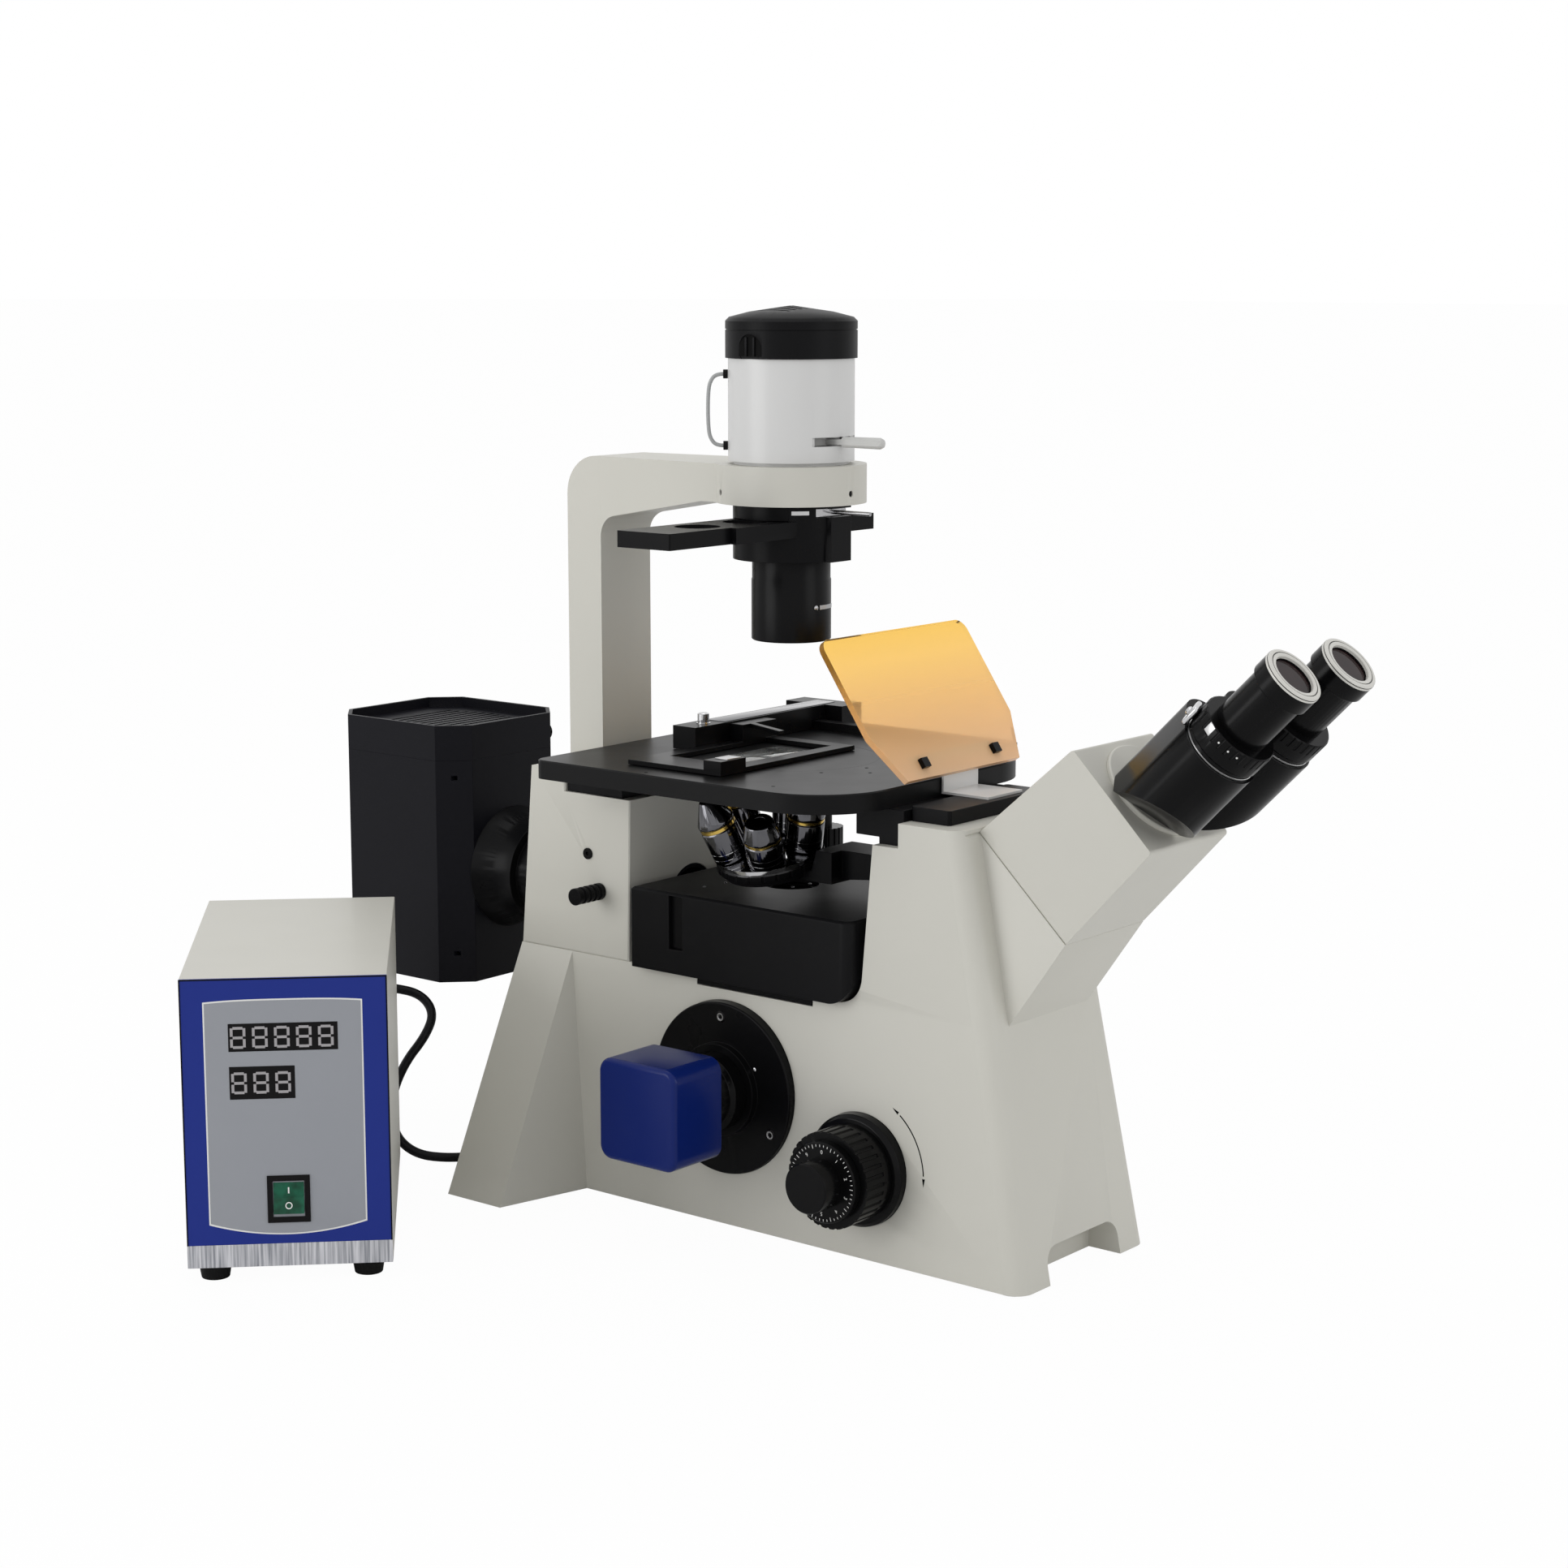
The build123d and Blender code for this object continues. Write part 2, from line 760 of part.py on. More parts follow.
def lamp_cap():
    inner_r = cap_r - lamp_wall * 2
    cap = turned([
        (0, lamp_top_z), (cap_r, lamp_top_z), (cap_r, cap_seam_z), (cap_r - cap_seam, cap_seam_z),
        (cap_r - cap_seam, cap_seam_z + cap_seam), (cap_r, cap_seam_z + cap_seam),
        (cap_r, cap_shoulder_z - lamp_wall), (cap_r - lamp_wall, cap_shoulder_z),
        (cap_dome_r, cap_shoulder_z + lamp_wall + groove), (0, cap_top_z),
    ])
    cap -= turned([
        (0, lamp_top_z), (inner_r, lamp_top_z), (inner_r, cap_shoulder_z - lamp_wall * 1.5),
        (cap_dome_r, cap_shoulder_z - lamp_wall / 2), (0, cap_top_z - lamp_wall * 1.5),
    ])
    spigot_r = lamp_r - lamp_wall - run_gap
    spigot = rod_z(0, 0, spigot_r, lamp_top_z - lamp_wall, lamp_top_z + lamp_wall)
    cap += spigot - rod_z(0, 0, spigot_r - lamp_wall, lamp_top_z - lamp_wall, lamp_top_z + lamp_wall)
    for index in range(vent_count):
        x = (index - (vent_count - 1) / 2) * vent_pitch
        cap -= block(x - vent_w / 2, x + vent_w / 2, -vent_len / 2, vent_len / 2, cap_shoulder_z, cap_top_z)
    for side in (0, 180):
        floor_r = cap_r - louvre_depth
        spring_z = louvre_low_z + louvre_h / 2
        pocket = block(floor_r, cap_r + cut_over, -louvre_w / 2, louvre_w / 2, louvre_low_z, spring_z)
        pocket += rod_x(0, spring_z, louvre_w / 2, floor_r, cap_r + cut_over)
        for y in (-louvre_pitch, 0, louvre_pitch):
            pocket += block(inner_r - groove, cap_r, y - vent_w / 2, y + vent_w / 2,
                            louvre_low_z + louvre_depth, spring_z + vent_w)
        cap -= Rot(0, 0, side) * pocket
    return cap


def lamps():
    base_low = bulb_plate_z - bulb_base_h
    plate_inner = lamp_r - lamp_wall - run_gap
    halogen = turned([
        (0, bulb_plate_z), (0, base_low - bulb_h),
        (bulb_r / 2, base_low - bulb_h), (bulb_r, base_low - bulb_h / 2),
        (bulb_r, base_low), (bulb_base_r, base_low), (bulb_base_r, bulb_plate_z - bulb_plate_t),
        (plate_inner, bulb_plate_z - bulb_plate_t), (plate_inner, bulb_plate_z),
    ])
    low = house_low_z + house_floor
    top = low + arc_base_h * 2 + arc_lamp_h
    mid = (low + top) / 2
    arc = turned([
        (0, low), (arc_base_r, low), (arc_base_r, low + arc_base_h), (arc_lamp_r / 2, low + arc_base_h),
        (arc_lamp_r / 2, mid - arc_lamp_r * 2),
        (arc_lamp_r, mid - arc_lamp_r), (arc_lamp_r, mid + arc_lamp_r),
        (arc_lamp_r / 2, mid + arc_lamp_r * 2), (arc_lamp_r / 2, top), (0, top),
    ])
    return group(halogen, Pos(0, arc_lamp_y, 0) * arc)


def lamp_optics():
    neck_top = arm_top_z + lamp_neck_h
    collector = turned([
        (0, neck_top), (collector_r, neck_top), (collector_r, neck_top + collector_t / 3),
        (collector_r / 2, neck_top + collector_t * 0.85), (0, neck_top + collector_t),
    ])
    inner = barrel_r - barrel_wall - run_gap
    front = turned([
        (0, barrel_low_z + groove), (inner, barrel_low_z + groove),
        (inner, barrel_low_z + condenser_lens_t / 2),
        (inner / 2, barrel_low_z + condenser_lens_t * 0.9), (0, barrel_low_z + condenser_lens_t),
    ])
    return collector, front


def field_lever():
    low = arm_top_z + lamp_neck_h + lamp_floor + lamp_boss_h + seat_gap
    ring = rod_z(0, 0, lamp_ring_outer, low, low + lamp_ring_t)
    ring -= rod_z(0, 0, lamp_ring_inner, low, low + lamp_ring_t)
    half = field_lever_w / 2
    lever = block(-half, half, -field_lever_reach + half, -lamp_ring_outer + lamp_wall,
                  low + groove, low + lamp_ring_t - groove)
    tip = rod_z(0, -field_lever_reach + half, half, low + groove, low + lamp_ring_t - groove)
    return ring + lever + tip


def condenser_holder():
    body = rod_z(0, 0, holder_r, holder_low_z, ring_low_z)
    body += block(-boss_half, boss_half, -holder_r - boss_depth, 0, holder_low_z, ring_low_z)
    body -= rod_z(0, 0, holder_bore_r, holder_low_z, ring_low_z)
    body -= block(-holder_r * 2, holder_r * 2, -slider_half - seat_gap, slider_half + seat_gap,
                  slider_low_z - seat_gap, slider_low_z + slider_t + seat_gap)
    iris_top = iris_low_z + iris_t
    body -= rod_z(0, 0, iris_outer + run_gap, iris_low_z - seat_gap, iris_top + seat_gap)
    reach = holder_r * 2
    window = [(0, 0), (-holder_r, -reach), (reach, -reach), (reach, -holder_r / 2)]
    body -= slab_z(window, iris_low_z - seat_gap, iris_top + seat_gap)
    body += rod_z(0, 0, iris_inner - run_gap, iris_low_z - cut_over / 2, ring_low_z)
    body -= rod_z(0, 0, holder_bore_r, holder_low_z, ring_low_z)
    rail = block(guide_rail_left, -barrel_r, -slider_half - seat_gap - guide_rail_t, -slider_half - seat_gap,
                 slider_low_z, slider_low_z + slider_t)
    return body + rail


def condenser():
    return group(condenser_holder(), condenser_tube())


def phase_slider():
    slider_top_z = slider_low_z + slider_t
    body = block(slider_left_x, slider_right_x, -slider_half, slider_half, slider_low_z, slider_top_z)
    for index in range(slider_stops):
        x = -index * slider_pitch
        body -= rod_z(x, 0, slider_hole_r, slider_low_z, slider_low_z + slider_t)
    return chamfer(body.edges().filter_by(Axis.Z), groove)


def aperture_lever():
    ring = rod_z(0, 0, iris_outer, iris_low_z, iris_low_z + iris_t)
    ring -= rod_z(0, 0, iris_inner, iris_low_z, iris_low_z + iris_t)
    lever = rod_y(0, iris_low_z + iris_t / 2, iris_lever_r, -iris_lever_reach, -iris_inner - run_gap * 2)
    return ring + lever


def condenser_tube():
    inner = barrel_r - barrel_wall
    return turned([
        (inner, barrel_low_z), (barrel_r - groove, barrel_low_z), (barrel_r, barrel_low_z + groove),
        (barrel_r, barrel_step_z), (barrel_r - barrel_step / 2, barrel_step_z + barrel_step),
        (barrel_r - barrel_step / 2, holder_low_z), (inner, holder_low_z),
    ])


def stage_plate():
    plate = slab_z([(-stage_half_x, -stage_half_y), (stage_half_x, -stage_half_y),
                    (stage_half_x, stage_half_y), (-stage_half_x, stage_half_y)], stage_low_z, stage_top_z)
    corners = plate.edges().filter_by(Axis.Z).sort_by(Axis.Y)
    plate = fillet(corners[:2], stage_front_r)
    corners = plate.edges().filter_by(Axis.Z).sort_by(Axis.Y)
    plate = fillet(corners[-2:], stage_back_r)
    plate = chamfer(plate.faces().sort_by(Axis.Z)[-1].edges(), stage_edge)
    plate -= rod_z(0, 0, insert_r - insert_ledge, stage_low_z, stage_top_z)
    plate -= rod_z(0, 0, insert_r + run_gap, stage_top_z - insert_t, stage_top_z)
    plate += block(guide_x, guide_x + guide_w, -guide_end_y, guide_end_y, stage_top_z - stage_edge * 2,
                   stage_top_z + guide_h)
    return plate


def stage_insert():
    plate = rod_z(0, 0, insert_r, stage_top_z - insert_t, stage_top_z)
    return plate - rod_z(0, 0, insert_hole_r, stage_top_z - insert_t, stage_top_z)


def stage_supports():
    front = slab_x([(support_back_y, support_under_z), (column_back_y - seat_gap, support_under_z),
                    (column_back_y - seat_gap, shelf_z), (shelf_y + seat_gap, shelf_z),
                    (shelf_y + seat_gap, stage_low_z), (support_back_y, stage_low_z)],
                   -support_half, support_half)
    rear = slab_x([(rear_support_front_y, rear_shelf_z), (rear_shelf_y - seat_gap, rear_shelf_z),
                   (rear_shelf_y - seat_gap, stage_low_z - rear_support_drop),
                   (stage_half_y, stage_low_z - rear_support_drop),
                   (stage_half_y, stage_low_z), (rear_support_front_y - rear_support_step, stage_low_z),
                   (rear_support_front_y - rear_support_step, stage_low_z - rear_support_drop),
                   (rear_support_front_y, stage_low_z - rear_support_drop)],
                   -rear_support_half, rear_support_half)
    rail = block(-rail_half, rail_half, rail_front_y, shelf_y, column_top_z, column_top_z + rail_h)
    rail = chamfer(rail.edges().filter_by(Axis.Z), groove * 2)
    return group(front, rear, rail)


def y_carriage():
    low = stage_top_z + seat_gap
    top = low + bar_h
    right = carriage_x + carriage_w
    bar = block(bar_left_x, right, bar_y, bar_y + bar_w, low, top)
    head_y = bar_y + bar_w / 2
    head = block(carriage_x, right, head_y - carriage_len / 2, head_y + carriage_len / 2,
                 stage_low_z - carriage_drop + stage_t, top)
    body = bar + head
    body -= block(guide_x - seat_gap, guide_x + guide_w + seat_gap, -guide_end_y, guide_end_y * 2,
                  stage_top_z, stage_top_z + guide_h + seat_gap)
    shaft_x = carriage_x + carriage_w / 2
    head_low = stage_low_z - carriage_drop + stage_t
    sleeve_low = head_low - stage_knob_drop + stage_knob_h * 2
    body += rod_z(shaft_x, head_y, stage_shaft_r * 1.6, sleeve_low, head_low)
    body += rod_z(shaft_x, head_y, stage_shaft_r, head_low - stage_knob_drop, sleeve_low)
    post_r = stage_shaft_r * 0.9
    lever_post = rod_z(bar_left_x + bar_w, bar_y + bar_w / 2, post_r, top, top + stage_shaft_r * 1.5)
    return body + lever_post


def stage_knob(radius, level):
    shaft_x = carriage_x + carriage_w / 2
    head_y = bar_y + bar_w / 2
    head_low = stage_low_z - carriage_drop + stage_t
    low = head_low - stage_knob_drop + stage_knob_h * level
    knob = rod_z(shaft_x, head_y, radius, low + seat_gap, low + stage_knob_h)
    for index in range(stage_knob_ribs):
        turn = Pos(shaft_x, head_y, 0) * Rot(0, 0, index * 360 / stage_knob_ribs)
        knob -= turn * rod_z(radius, 0, groove, low, low + stage_knob_h)
    return knob - rod_z(shaft_x, head_y, stage_shaft_r + run_gap, low, low + stage_knob_h)


def specimen_holder():
    low = stage_top_z + seat_gap
    top = low + holder_t
    back = bar_y - seat_gap
    plate = block(holder_left_x, holder_right_x, holder_front_y, back, low, top)
    plate -= block(holder_left_x + window_margin * 2.5, holder_right_x - window_margin,
                   holder_front_y + window_margin,
                   back - window_margin, low, top)
    head = block(holder_right_x - holder_head_w, holder_right_x, back - window_margin, back, low,
                 low + holder_head_h)
    clip = block(holder_left_x, holder_left_x + clip_len, holder_front_y, holder_front_y + clip_w,
                 low, low + clip_h)
    reach = holder_right_x - holder_head_w / 2
    finger = slab_z([(reach, back), (reach - finger_t * 2, back), (reach - finger_len / 2, back - finger_len),
                     (reach - finger_len / 2 + finger_t * 2, back - finger_len)],
                    low + holder_head_h - finger_t, low + holder_head_h)
    finger &= block(holder_left_x, holder_right_x, holder_front_y, back, low, low + holder_head_h * 2)
    return plate + head + clip + finger


def shield():
    outline = [(-shield_bottom_half, 0), (shield_bottom_half, 0), (shield_half, shield_bend)]
    outline += [(shield_half, shield_len), (-shield_half, shield_len), (-shield_half, shield_bend)]
    plate = extrude(Plane.XY * Polygon(*outline, align=None), shield_t)
    tops = [edge for edge in plate.edges().filter_by(Axis.Z) if edge.center().Y > shield_len - seat_gap]
    plate = fillet(tops, shield_corner_r)
    for side in (-1, 1):
        plate -= rod_z(side * shield_screw_x, shield_screw_w, shield_screw_half / 2 + run_gap, 0, shield_t)
    return shield_frame * plate


def shield_bracket():
    strip = block(-bracket_half, bracket_half, bracket_t, bracket_h, -bracket_t, 0)
    for side in (-1, 1):
        hole_r = shield_screw_half / 2 + run_gap
        strip -= rod_z(side * shield_screw_x, shield_screw_w, hole_r, -bracket_t, 0)
    strip = shield_frame * strip
    lean = math.radians(shield_lean)
    low = column_top_z + rail_h
    y0 = shield_bottom_y
    z0 = shield_bottom_z
    bend_y = y0 + bracket_t * 2 * math.sin(lean)
    bend_z = z0 + bracket_t * 2 * math.cos(lean)
    stem = slab_x([
        (y0, z0), (bend_y, bend_z),
        (bend_y + bracket_t * math.cos(lean), bend_z - bracket_t * math.sin(lean)),
        (y0 + bracket_t, z0), (y0 + bracket_t, low), (shelf_y - bracket_foot, low),
        (shelf_y - bracket_foot, low + bracket_t), (y0, low + bracket_t),
    ], shield_x - stem_half, shield_x + stem_half)
    return strip + stem


def machine_screws():
    pieces = []
    for side in (-1, 1):
        shank_r = shield_screw_half / 2
        shank = rod_z(side * shield_screw_x, shield_screw_w, shank_r, -bracket_t * 2, shield_t)
        half = shield_screw_half
        x = side * shield_screw_x
        head = block(x - half, x + half, shield_screw_w - half, shield_screw_w + half,
                     shield_t, shield_t + half)
        pieces.append(shield_frame * (shank + head))
    plug = rod_x(plug_y, plug_z, plug_r, -neck_half - plug_proud, -neck_half + plug_depth)
    pieces.append(plug - rod_x(plug_y, plug_z, plug_r / 3, -neck_half - plug_proud, -neck_half))
    for angle in set_screw_angles:
        screw = rod_x(0, set_screw_z, set_screw_r, ring_bore_r + casting_wall, ring_r - groove)
        pieces.append(Rot(0, 0, angle) * screw)
    for index in range(3):
        angle = math.radians(90 + 120 * index)
        y = flange_screw_circle * math.cos(angle)
        z = port_z + flange_screw_circle * math.sin(angle)
        screw = rod_x(y, z, flange_screw_r, -flange_out_x - groove, -flange_seat_x - groove)
        socket = rod_x(y, z, flange_screw_r / 2, -flange_out_x - groove, -flange_out_x + groove)
        pieces.append(screw - socket)
    return group(*pieces)


def nosepiece_carrier():
    disc = turret_frame * rod_z(0, 0, carrier_r, carrier_base, carrier_base + carrier_t)
    pin = turret_frame * rod_z(0, 0, pivot_r, carrier_base, dome_base + pivot_h)
    low_y = carrier_step_y
    arm = slab_x([
        (-carrier_r / 2, carrier_arm_low_z), (low_y, carrier_arm_low_z),
        (carrier_post_back_y, carrier_tip_low_z),
        (carrier_post_back_y, carrier_arm_top_z), (low_y, carrier_arm_top_z),
    ], -arm_w_half, arm_w_half)
    neck = slab_x([(-carrier_r / 2, carrier_arm_low_z), (low_y - arm_w_half, carrier_arm_low_z),
                   (low_y - arm_w_half, carrier_arm_top_z), (low_y, carrier_arm_top_z),
                   (-carrier_r / 2, carrier_arm_low_z + carrier_t)], -carrier_r * 0.8, arm_w_half)
    sweep_r = seat_circle_r + objective_r * math.cos(tilt) + seat_gap * 4
    far_r = sweep_r + grip_base * math.tan(tilt)
    clear = turret_frame * turned([
        (0, grip_base - seat_gap), (sweep_r, grip_base - seat_gap),
        (far_r, grip_base * 2), (0, grip_base * 2),
    ])
    clear -= turret_frame * rod_z(0, 0, pivot_r, 0, grip_base * 2)
    post_front = carrier_post_back_y - carrier_post_t
    post = block(-arm_w_half, arm_w_half, post_front, carrier_post_back_y,
                 carrier_post_low_z, carrier_arm_top_z)
    body = disc + arm + neck - clear
    body = body + pin + post + focus_rack()
    return body - rod_z(0, 0, turret_bore_r, 0, carrier_arm_low_z + carrier_r)


def tooth_outline(half_pitch_width, height_up, height_down):
    top = half_pitch_width * 0.55
    foot = half_pitch_width * 1.35
    return [(-foot, -height_down), (foot, -height_down), (top, height_up), (-top, height_up)]


def focus_rack():
    pitch = math.pi * gear_module
    half = pitch * tooth_share / 2
    face_y = focus_y - pitch_r
    root_y = face_y - gear_module * (1 + gear_bottom_gap)
    middle = (rack_teeth - 1) / 2
    low = focus_z - pitch * (middle + 1)
    high = focus_z + pitch * (middle + 1)
    rack = block(-rack_half_w, rack_half_w, carrier_post_back_y, root_y, low, high)
    for index in range(rack_teeth):
        z = focus_z + (index - middle) * pitch
        tooth = [(face_y + up, z + along) for along, up in
                 tooth_outline(half, gear_module, gear_module * (1 + gear_bottom_gap))]
        rack += slab_x(tooth, -rack_half_w, rack_half_w)
    return rack


def pinion():
    root_r = pitch_r - gear_module * (1 + gear_bottom_gap)
    half = math.pi * gear_module * tooth_share / 2
    gear = rod_x(0, 0, root_r, -pinion_half_w, pinion_half_w)
    outline = [(pitch_r + up, along) for along, up in
               tooth_outline(half, gear_module, gear_module * (1 + gear_bottom_gap))]
    tooth = slab_x(outline, -pinion_half_w, pinion_half_w)
    step = 360 / pinion_teeth
    for index in range(pinion_teeth):
        gear += Rot(step * (index + 0.5), 0, 0) * tooth
    return Pos(0, focus_y, focus_z) * gear


def turret_dome():
    dome = Sphere(apex_len) & rod_z(0, 0, dome_r, dome_base, apex_len + cut_over)
    dome -= rod_z(0, 0, pivot_r + run_gap, 0, dome_base + pivot_h + seat_gap)
    step = 360 / len(objective_lengths)
    for index in range(len(objective_lengths)):
        bore = rod_z(0, 0, turret_bore_r, 0, apex_len * 2)
        dome -= Rot(0, 0, step * index) * Rot(0, turret_tilt, 0) * bore
    return turret_frame * dome


def turret_ring():
    ring = rod_z(0, 0, grip_r, grip_base, dome_base)
    for index in range(grip_flutes):
        flute = rod_z(grip_r + flute_r / 2, 0, flute_r, 0, dome_base * 2)
        ring -= Rot(0, 0, index * 360 / grip_flutes) * flute
    ring -= rod_z(0, 0, pivot_r + run_gap, 0, dome_base * 2)
    step = 360 / len(objective_lengths)
    for index in range(len(objective_lengths)):
        bore = rod_z(0, 0, turret_bore_r, 0, apex_len * 2)
        ring -= Rot(0, 0, step * index) * Rot(0, turret_tilt, 0) * bore
    return turret_frame * ring


def objective(index):
    length = objective_lengths[index]
    nose = objective_nose_rs[index]
    barrel = length * objective_barrel_share
    ring = length * objective_ring_share
    body = turned([
        (nose / 2, 0), (objective_thread_r, 0), (objective_r - groove, 0), (objective_r, groove),
        (objective_r, barrel), (objective_r - groove, barrel + groove), (objective_r - groove, ring),
        (objective_r, ring + groove), (objective_r, ring + groove * 3), (nose, length - groove),
        (nose - groove, length), (nose / 2, length),
    ])
    place = Rot(0, 0, index * 360 / len(objective_lengths)) * Rot(0, turret_tilt, 0)
    return turret_frame * (place * (Pos(0, 0, apex_len) * body))


def focus_collars():
    collar = rod_x(focus_y, focus_z, collar_r, -collar_out_x, -collar_seat_x)
    rim = [edge for edge in collar.edges() if edge.center().X < -collar_out_x + seat_gap]
    collar = chamfer(rim, groove * 3)
    sleeve_r = hollow_shaft_r * 2 - run_gap
    sleeve = rod_x(focus_y, focus_z, sleeve_r, -collar_seat_x, -collar_seat_x + casting_wall)
    collar = collar + sleeve
    collar -= rod_x(focus_y, focus_z, hollow_shaft_r + run_gap, -foot_half, foot_half)
    return group(collar, mirror(collar, Plane.YZ))


def coarse_focus():
    low = collar_out_x + seat_gap
    knob = rod_x(focus_y, focus_z, coarse_r, -coarse_out_x, -low)
    rib_low = low + casting_wall
    for index in range(coarse_ribs):
        turn = Pos(0, focus_y, focus_z) * Rot(index * 360 / coarse_ribs, 0, 0)
        knob -= turn * rod_x(coarse_r + rib_r / 3, 0, rib_r, -coarse_out_x, -rib_low)
    knob -= rod_x(focus_y, focus_z, hollow_shaft_r, -foot_half, foot_half)
    shaft = rod_x(focus_y, focus_z, hollow_shaft_r, -coarse_out_x, coarse_out_x) + pinion()
    shaft -= rod_x(focus_y, focus_z, fine_shaft_r + run_gap, -foot_half, foot_half)
    return group(knob, mirror(knob, Plane.YZ), shaft)


def fine_focus():
    low = coarse_out_x + seat_gap
    knob = rod_x(focus_y, focus_z, fine_ring_r, -fine_ring_out_x, -low)
    rim = [edge for edge in knob.edges() if edge.center().X < -fine_ring_out_x + seat_gap]
    knob = chamfer(rim, groove)
    grip = rod_x(focus_y, focus_z, fine_r, -fine_out_x, -low)
    rim = [edge for edge in grip.edges() if edge.center().X < -fine_out_x + seat_gap]
    knob = knob + chamfer(rim, groove)
    knob -= rod_x(focus_y, focus_z, fine_shaft_r, -fine_ring_out_x, 0)
    shaft = rod_x(focus_y, focus_z, fine_shaft_r, -fine_ring_out_x, fine_ring_out_x)
    return group(knob, mirror(knob, Plane.YZ), shaft)


def filter_box():
    box = block(-box_half, box_half, box_front_y, box_back_y, deck_z, box_top_z)
    box = fillet(nearest_edge(box, box_front_y, deck_z), box_corner_r)
    plan = block(-box_half, box_half, box_front_y, box_back_y, deck_z, box_top_z)
    uprights = plan.edges().filter_by(Axis.Z).sort_by(Axis.Y)[:2]
    box &= fillet(uprights, box_plan_r)
    tops = [edge for edge in box.edges() if edge.center().Z > box_top_z - seat_gap]
    box = chamfer(tops, box_edge_r / 2)
    step_gap = seat_gap * 2
    box += block(-neck_half - step_gap, neck_half + step_gap,
                 recess_front_y + step_gap, recess_back_y - step_gap,
                 deck_z - recess_depth + step_gap, deck_z + cut_over)
    box -= rod_z(0, 0, light_bore_r, 0, box_top_z + cut_over)
    box -= rod_y(0, epi_z, light_bore_r, 0, box_back_y + cut_over)
    hold = cube_half + seat_gap
    box -= block(-hold, hold, -hold, hold, cube_low_z, cube_low_z + 2 * cube_half + seat_gap)
    half = slide_t / 2 + seat_gap
    box -= block(-box_half - cut_over, slide_right_x + seat_gap * 4, slide_y - half, slide_y + half,
                 slide_low_z - seat_gap, slide_top_z)
    return box


def filter_slider():
    half = slide_t / 2
    body = block(slide_left_x, slide_right_x, slide_y - half, slide_y + half,
                 slide_low_z, slide_top_z - seat_gap)
    for index in range(2):
        body -= rod_y(index * slide_pitch, epi_z, slide_window_r, slide_y - half, slide_y + half)
    return body


def filter_cube():
    top = cube_low_z + 2 * cube_half
    cube = block(-cube_half, cube_half, -cube_half, cube_half, cube_low_z, top)
    inner = cube_half - cube_wall
    core = block(-inner - seat_gap, inner + seat_gap, -inner, inner, cube_low_z + cube_wall, top - cube_wall)
    cube -= core
    window_r = inner - cube_wall
    cube -= rod_z(0, 0, window_r, 0, box_top_z)
    cube -= rod_y(0, cube_low_z + cube_half, window_r, 0, cube_half)
    return cube


def epi_tube():
    ring_back = snout_ring_y + snout_ring_w
    inner = epi_bore_r - snout_wall
    tube = turned([
        (inner, 0), (epi_bore_r - seat_gap, 0),
        (epi_bore_r - seat_gap, back_y - rear_front_y), (snout_r, back_y - rear_front_y),
        (snout_r, snout_ring_y - rear_front_y), (snout_ring_r, snout_ring_y - rear_front_y),
        (snout_ring_r, ring_back - rear_front_y), (snout_flare_r, house_front_y - rear_front_y),
        (inner, house_front_y - rear_front_y),
    ])
    return Pos(0, rear_front_y, epi_z) * Rot(-90, 0, 0) * tube


def house_plan(inset):
    half = house_half - inset
    front = house_front_y + inset
    back = house_back_y - inset
    cut = house_chamfer - inset / 2
    right = [(half - cut, front), (half, front + cut), (half, back - cut), (half - cut, back)]
    return right + [(-x, y) for x, y in reversed(right)]


def lamphouse_shell():
    shell = slab_z(house_plan(0), house_low_z, house_lid_z)
    shell -= slab_z(house_plan(house_wall), house_low_z + house_floor, house_lid_z)
    shell -= rod_y(0, epi_z, epi_bore_r - snout_wall,
                   house_front_y - cut_over, house_front_y + house_wall * 2)
    shell -= rod_z(house_gland_x, house_gland_y, cable_r + seat_gap, house_low_z, house_low_z + house_floor)
    hole = grille_slot / 2
    mid = house_front_y + house_chamfer / 2
    for z in (house_low_z + house_wall * 8, house_lid_z - house_floor * 3):
        for side in (-1, 1):
            x = side * (house_half - house_chamfer / 2)
            shell -= block(x - hole * 2, x + hole * 2, mid - hole, mid + hole, z - hole, z + hole)
    return shell


def lamphouse_lid():
    lid = slab_z(house_plan(0), house_lid_z, house_top_z)
    grille_top = house_top_z - grille_drop
    lid -= slab_z(house_plan(house_wall), grille_top, house_top_z)
    lid -= slab_z(house_plan(house_wall), house_lid_z, grille_top - grille_t)
    middle = (grille_count - 1) / 2
    mid_y = (house_front_y + house_back_y) / 2
    reach = house_half - grille_margin
    for index in range(grille_count):
        y = mid_y + (index - middle) * grille_pitch
        short = reach - abs(index - middle) * grille_slot / 2
        lid -= block(-short, short, y - grille_slot / 2, y + grille_slot / 2,
                     grille_top - grille_t, grille_top)
    hole_r = house_knob_shaft + run_gap
    lid -= rod_x(house_knob_y + house_chamfer, house_knob_z + grille_drop, hole_r, 0, foot_half)
    return lid


def lamphouse_knob():
    y = house_knob_y + house_chamfer
    z = house_knob_z + grille_drop
    knob = rod_x(y, z, house_knob_r, house_half + seat_gap, house_half + seat_gap + house_knob_len)
    for index in range(house_knob_ribs):
        turn = Pos(0, y, z) * Rot(index * 360 / house_knob_ribs, 0, 0)
        knob -= turn * rod_x(house_knob_r, 0, groove, house_half, house_half + house_knob_len)
    return knob + rod_x(y, z, house_knob_shaft, house_half - house_wall * 3, house_half + house_knob_len)


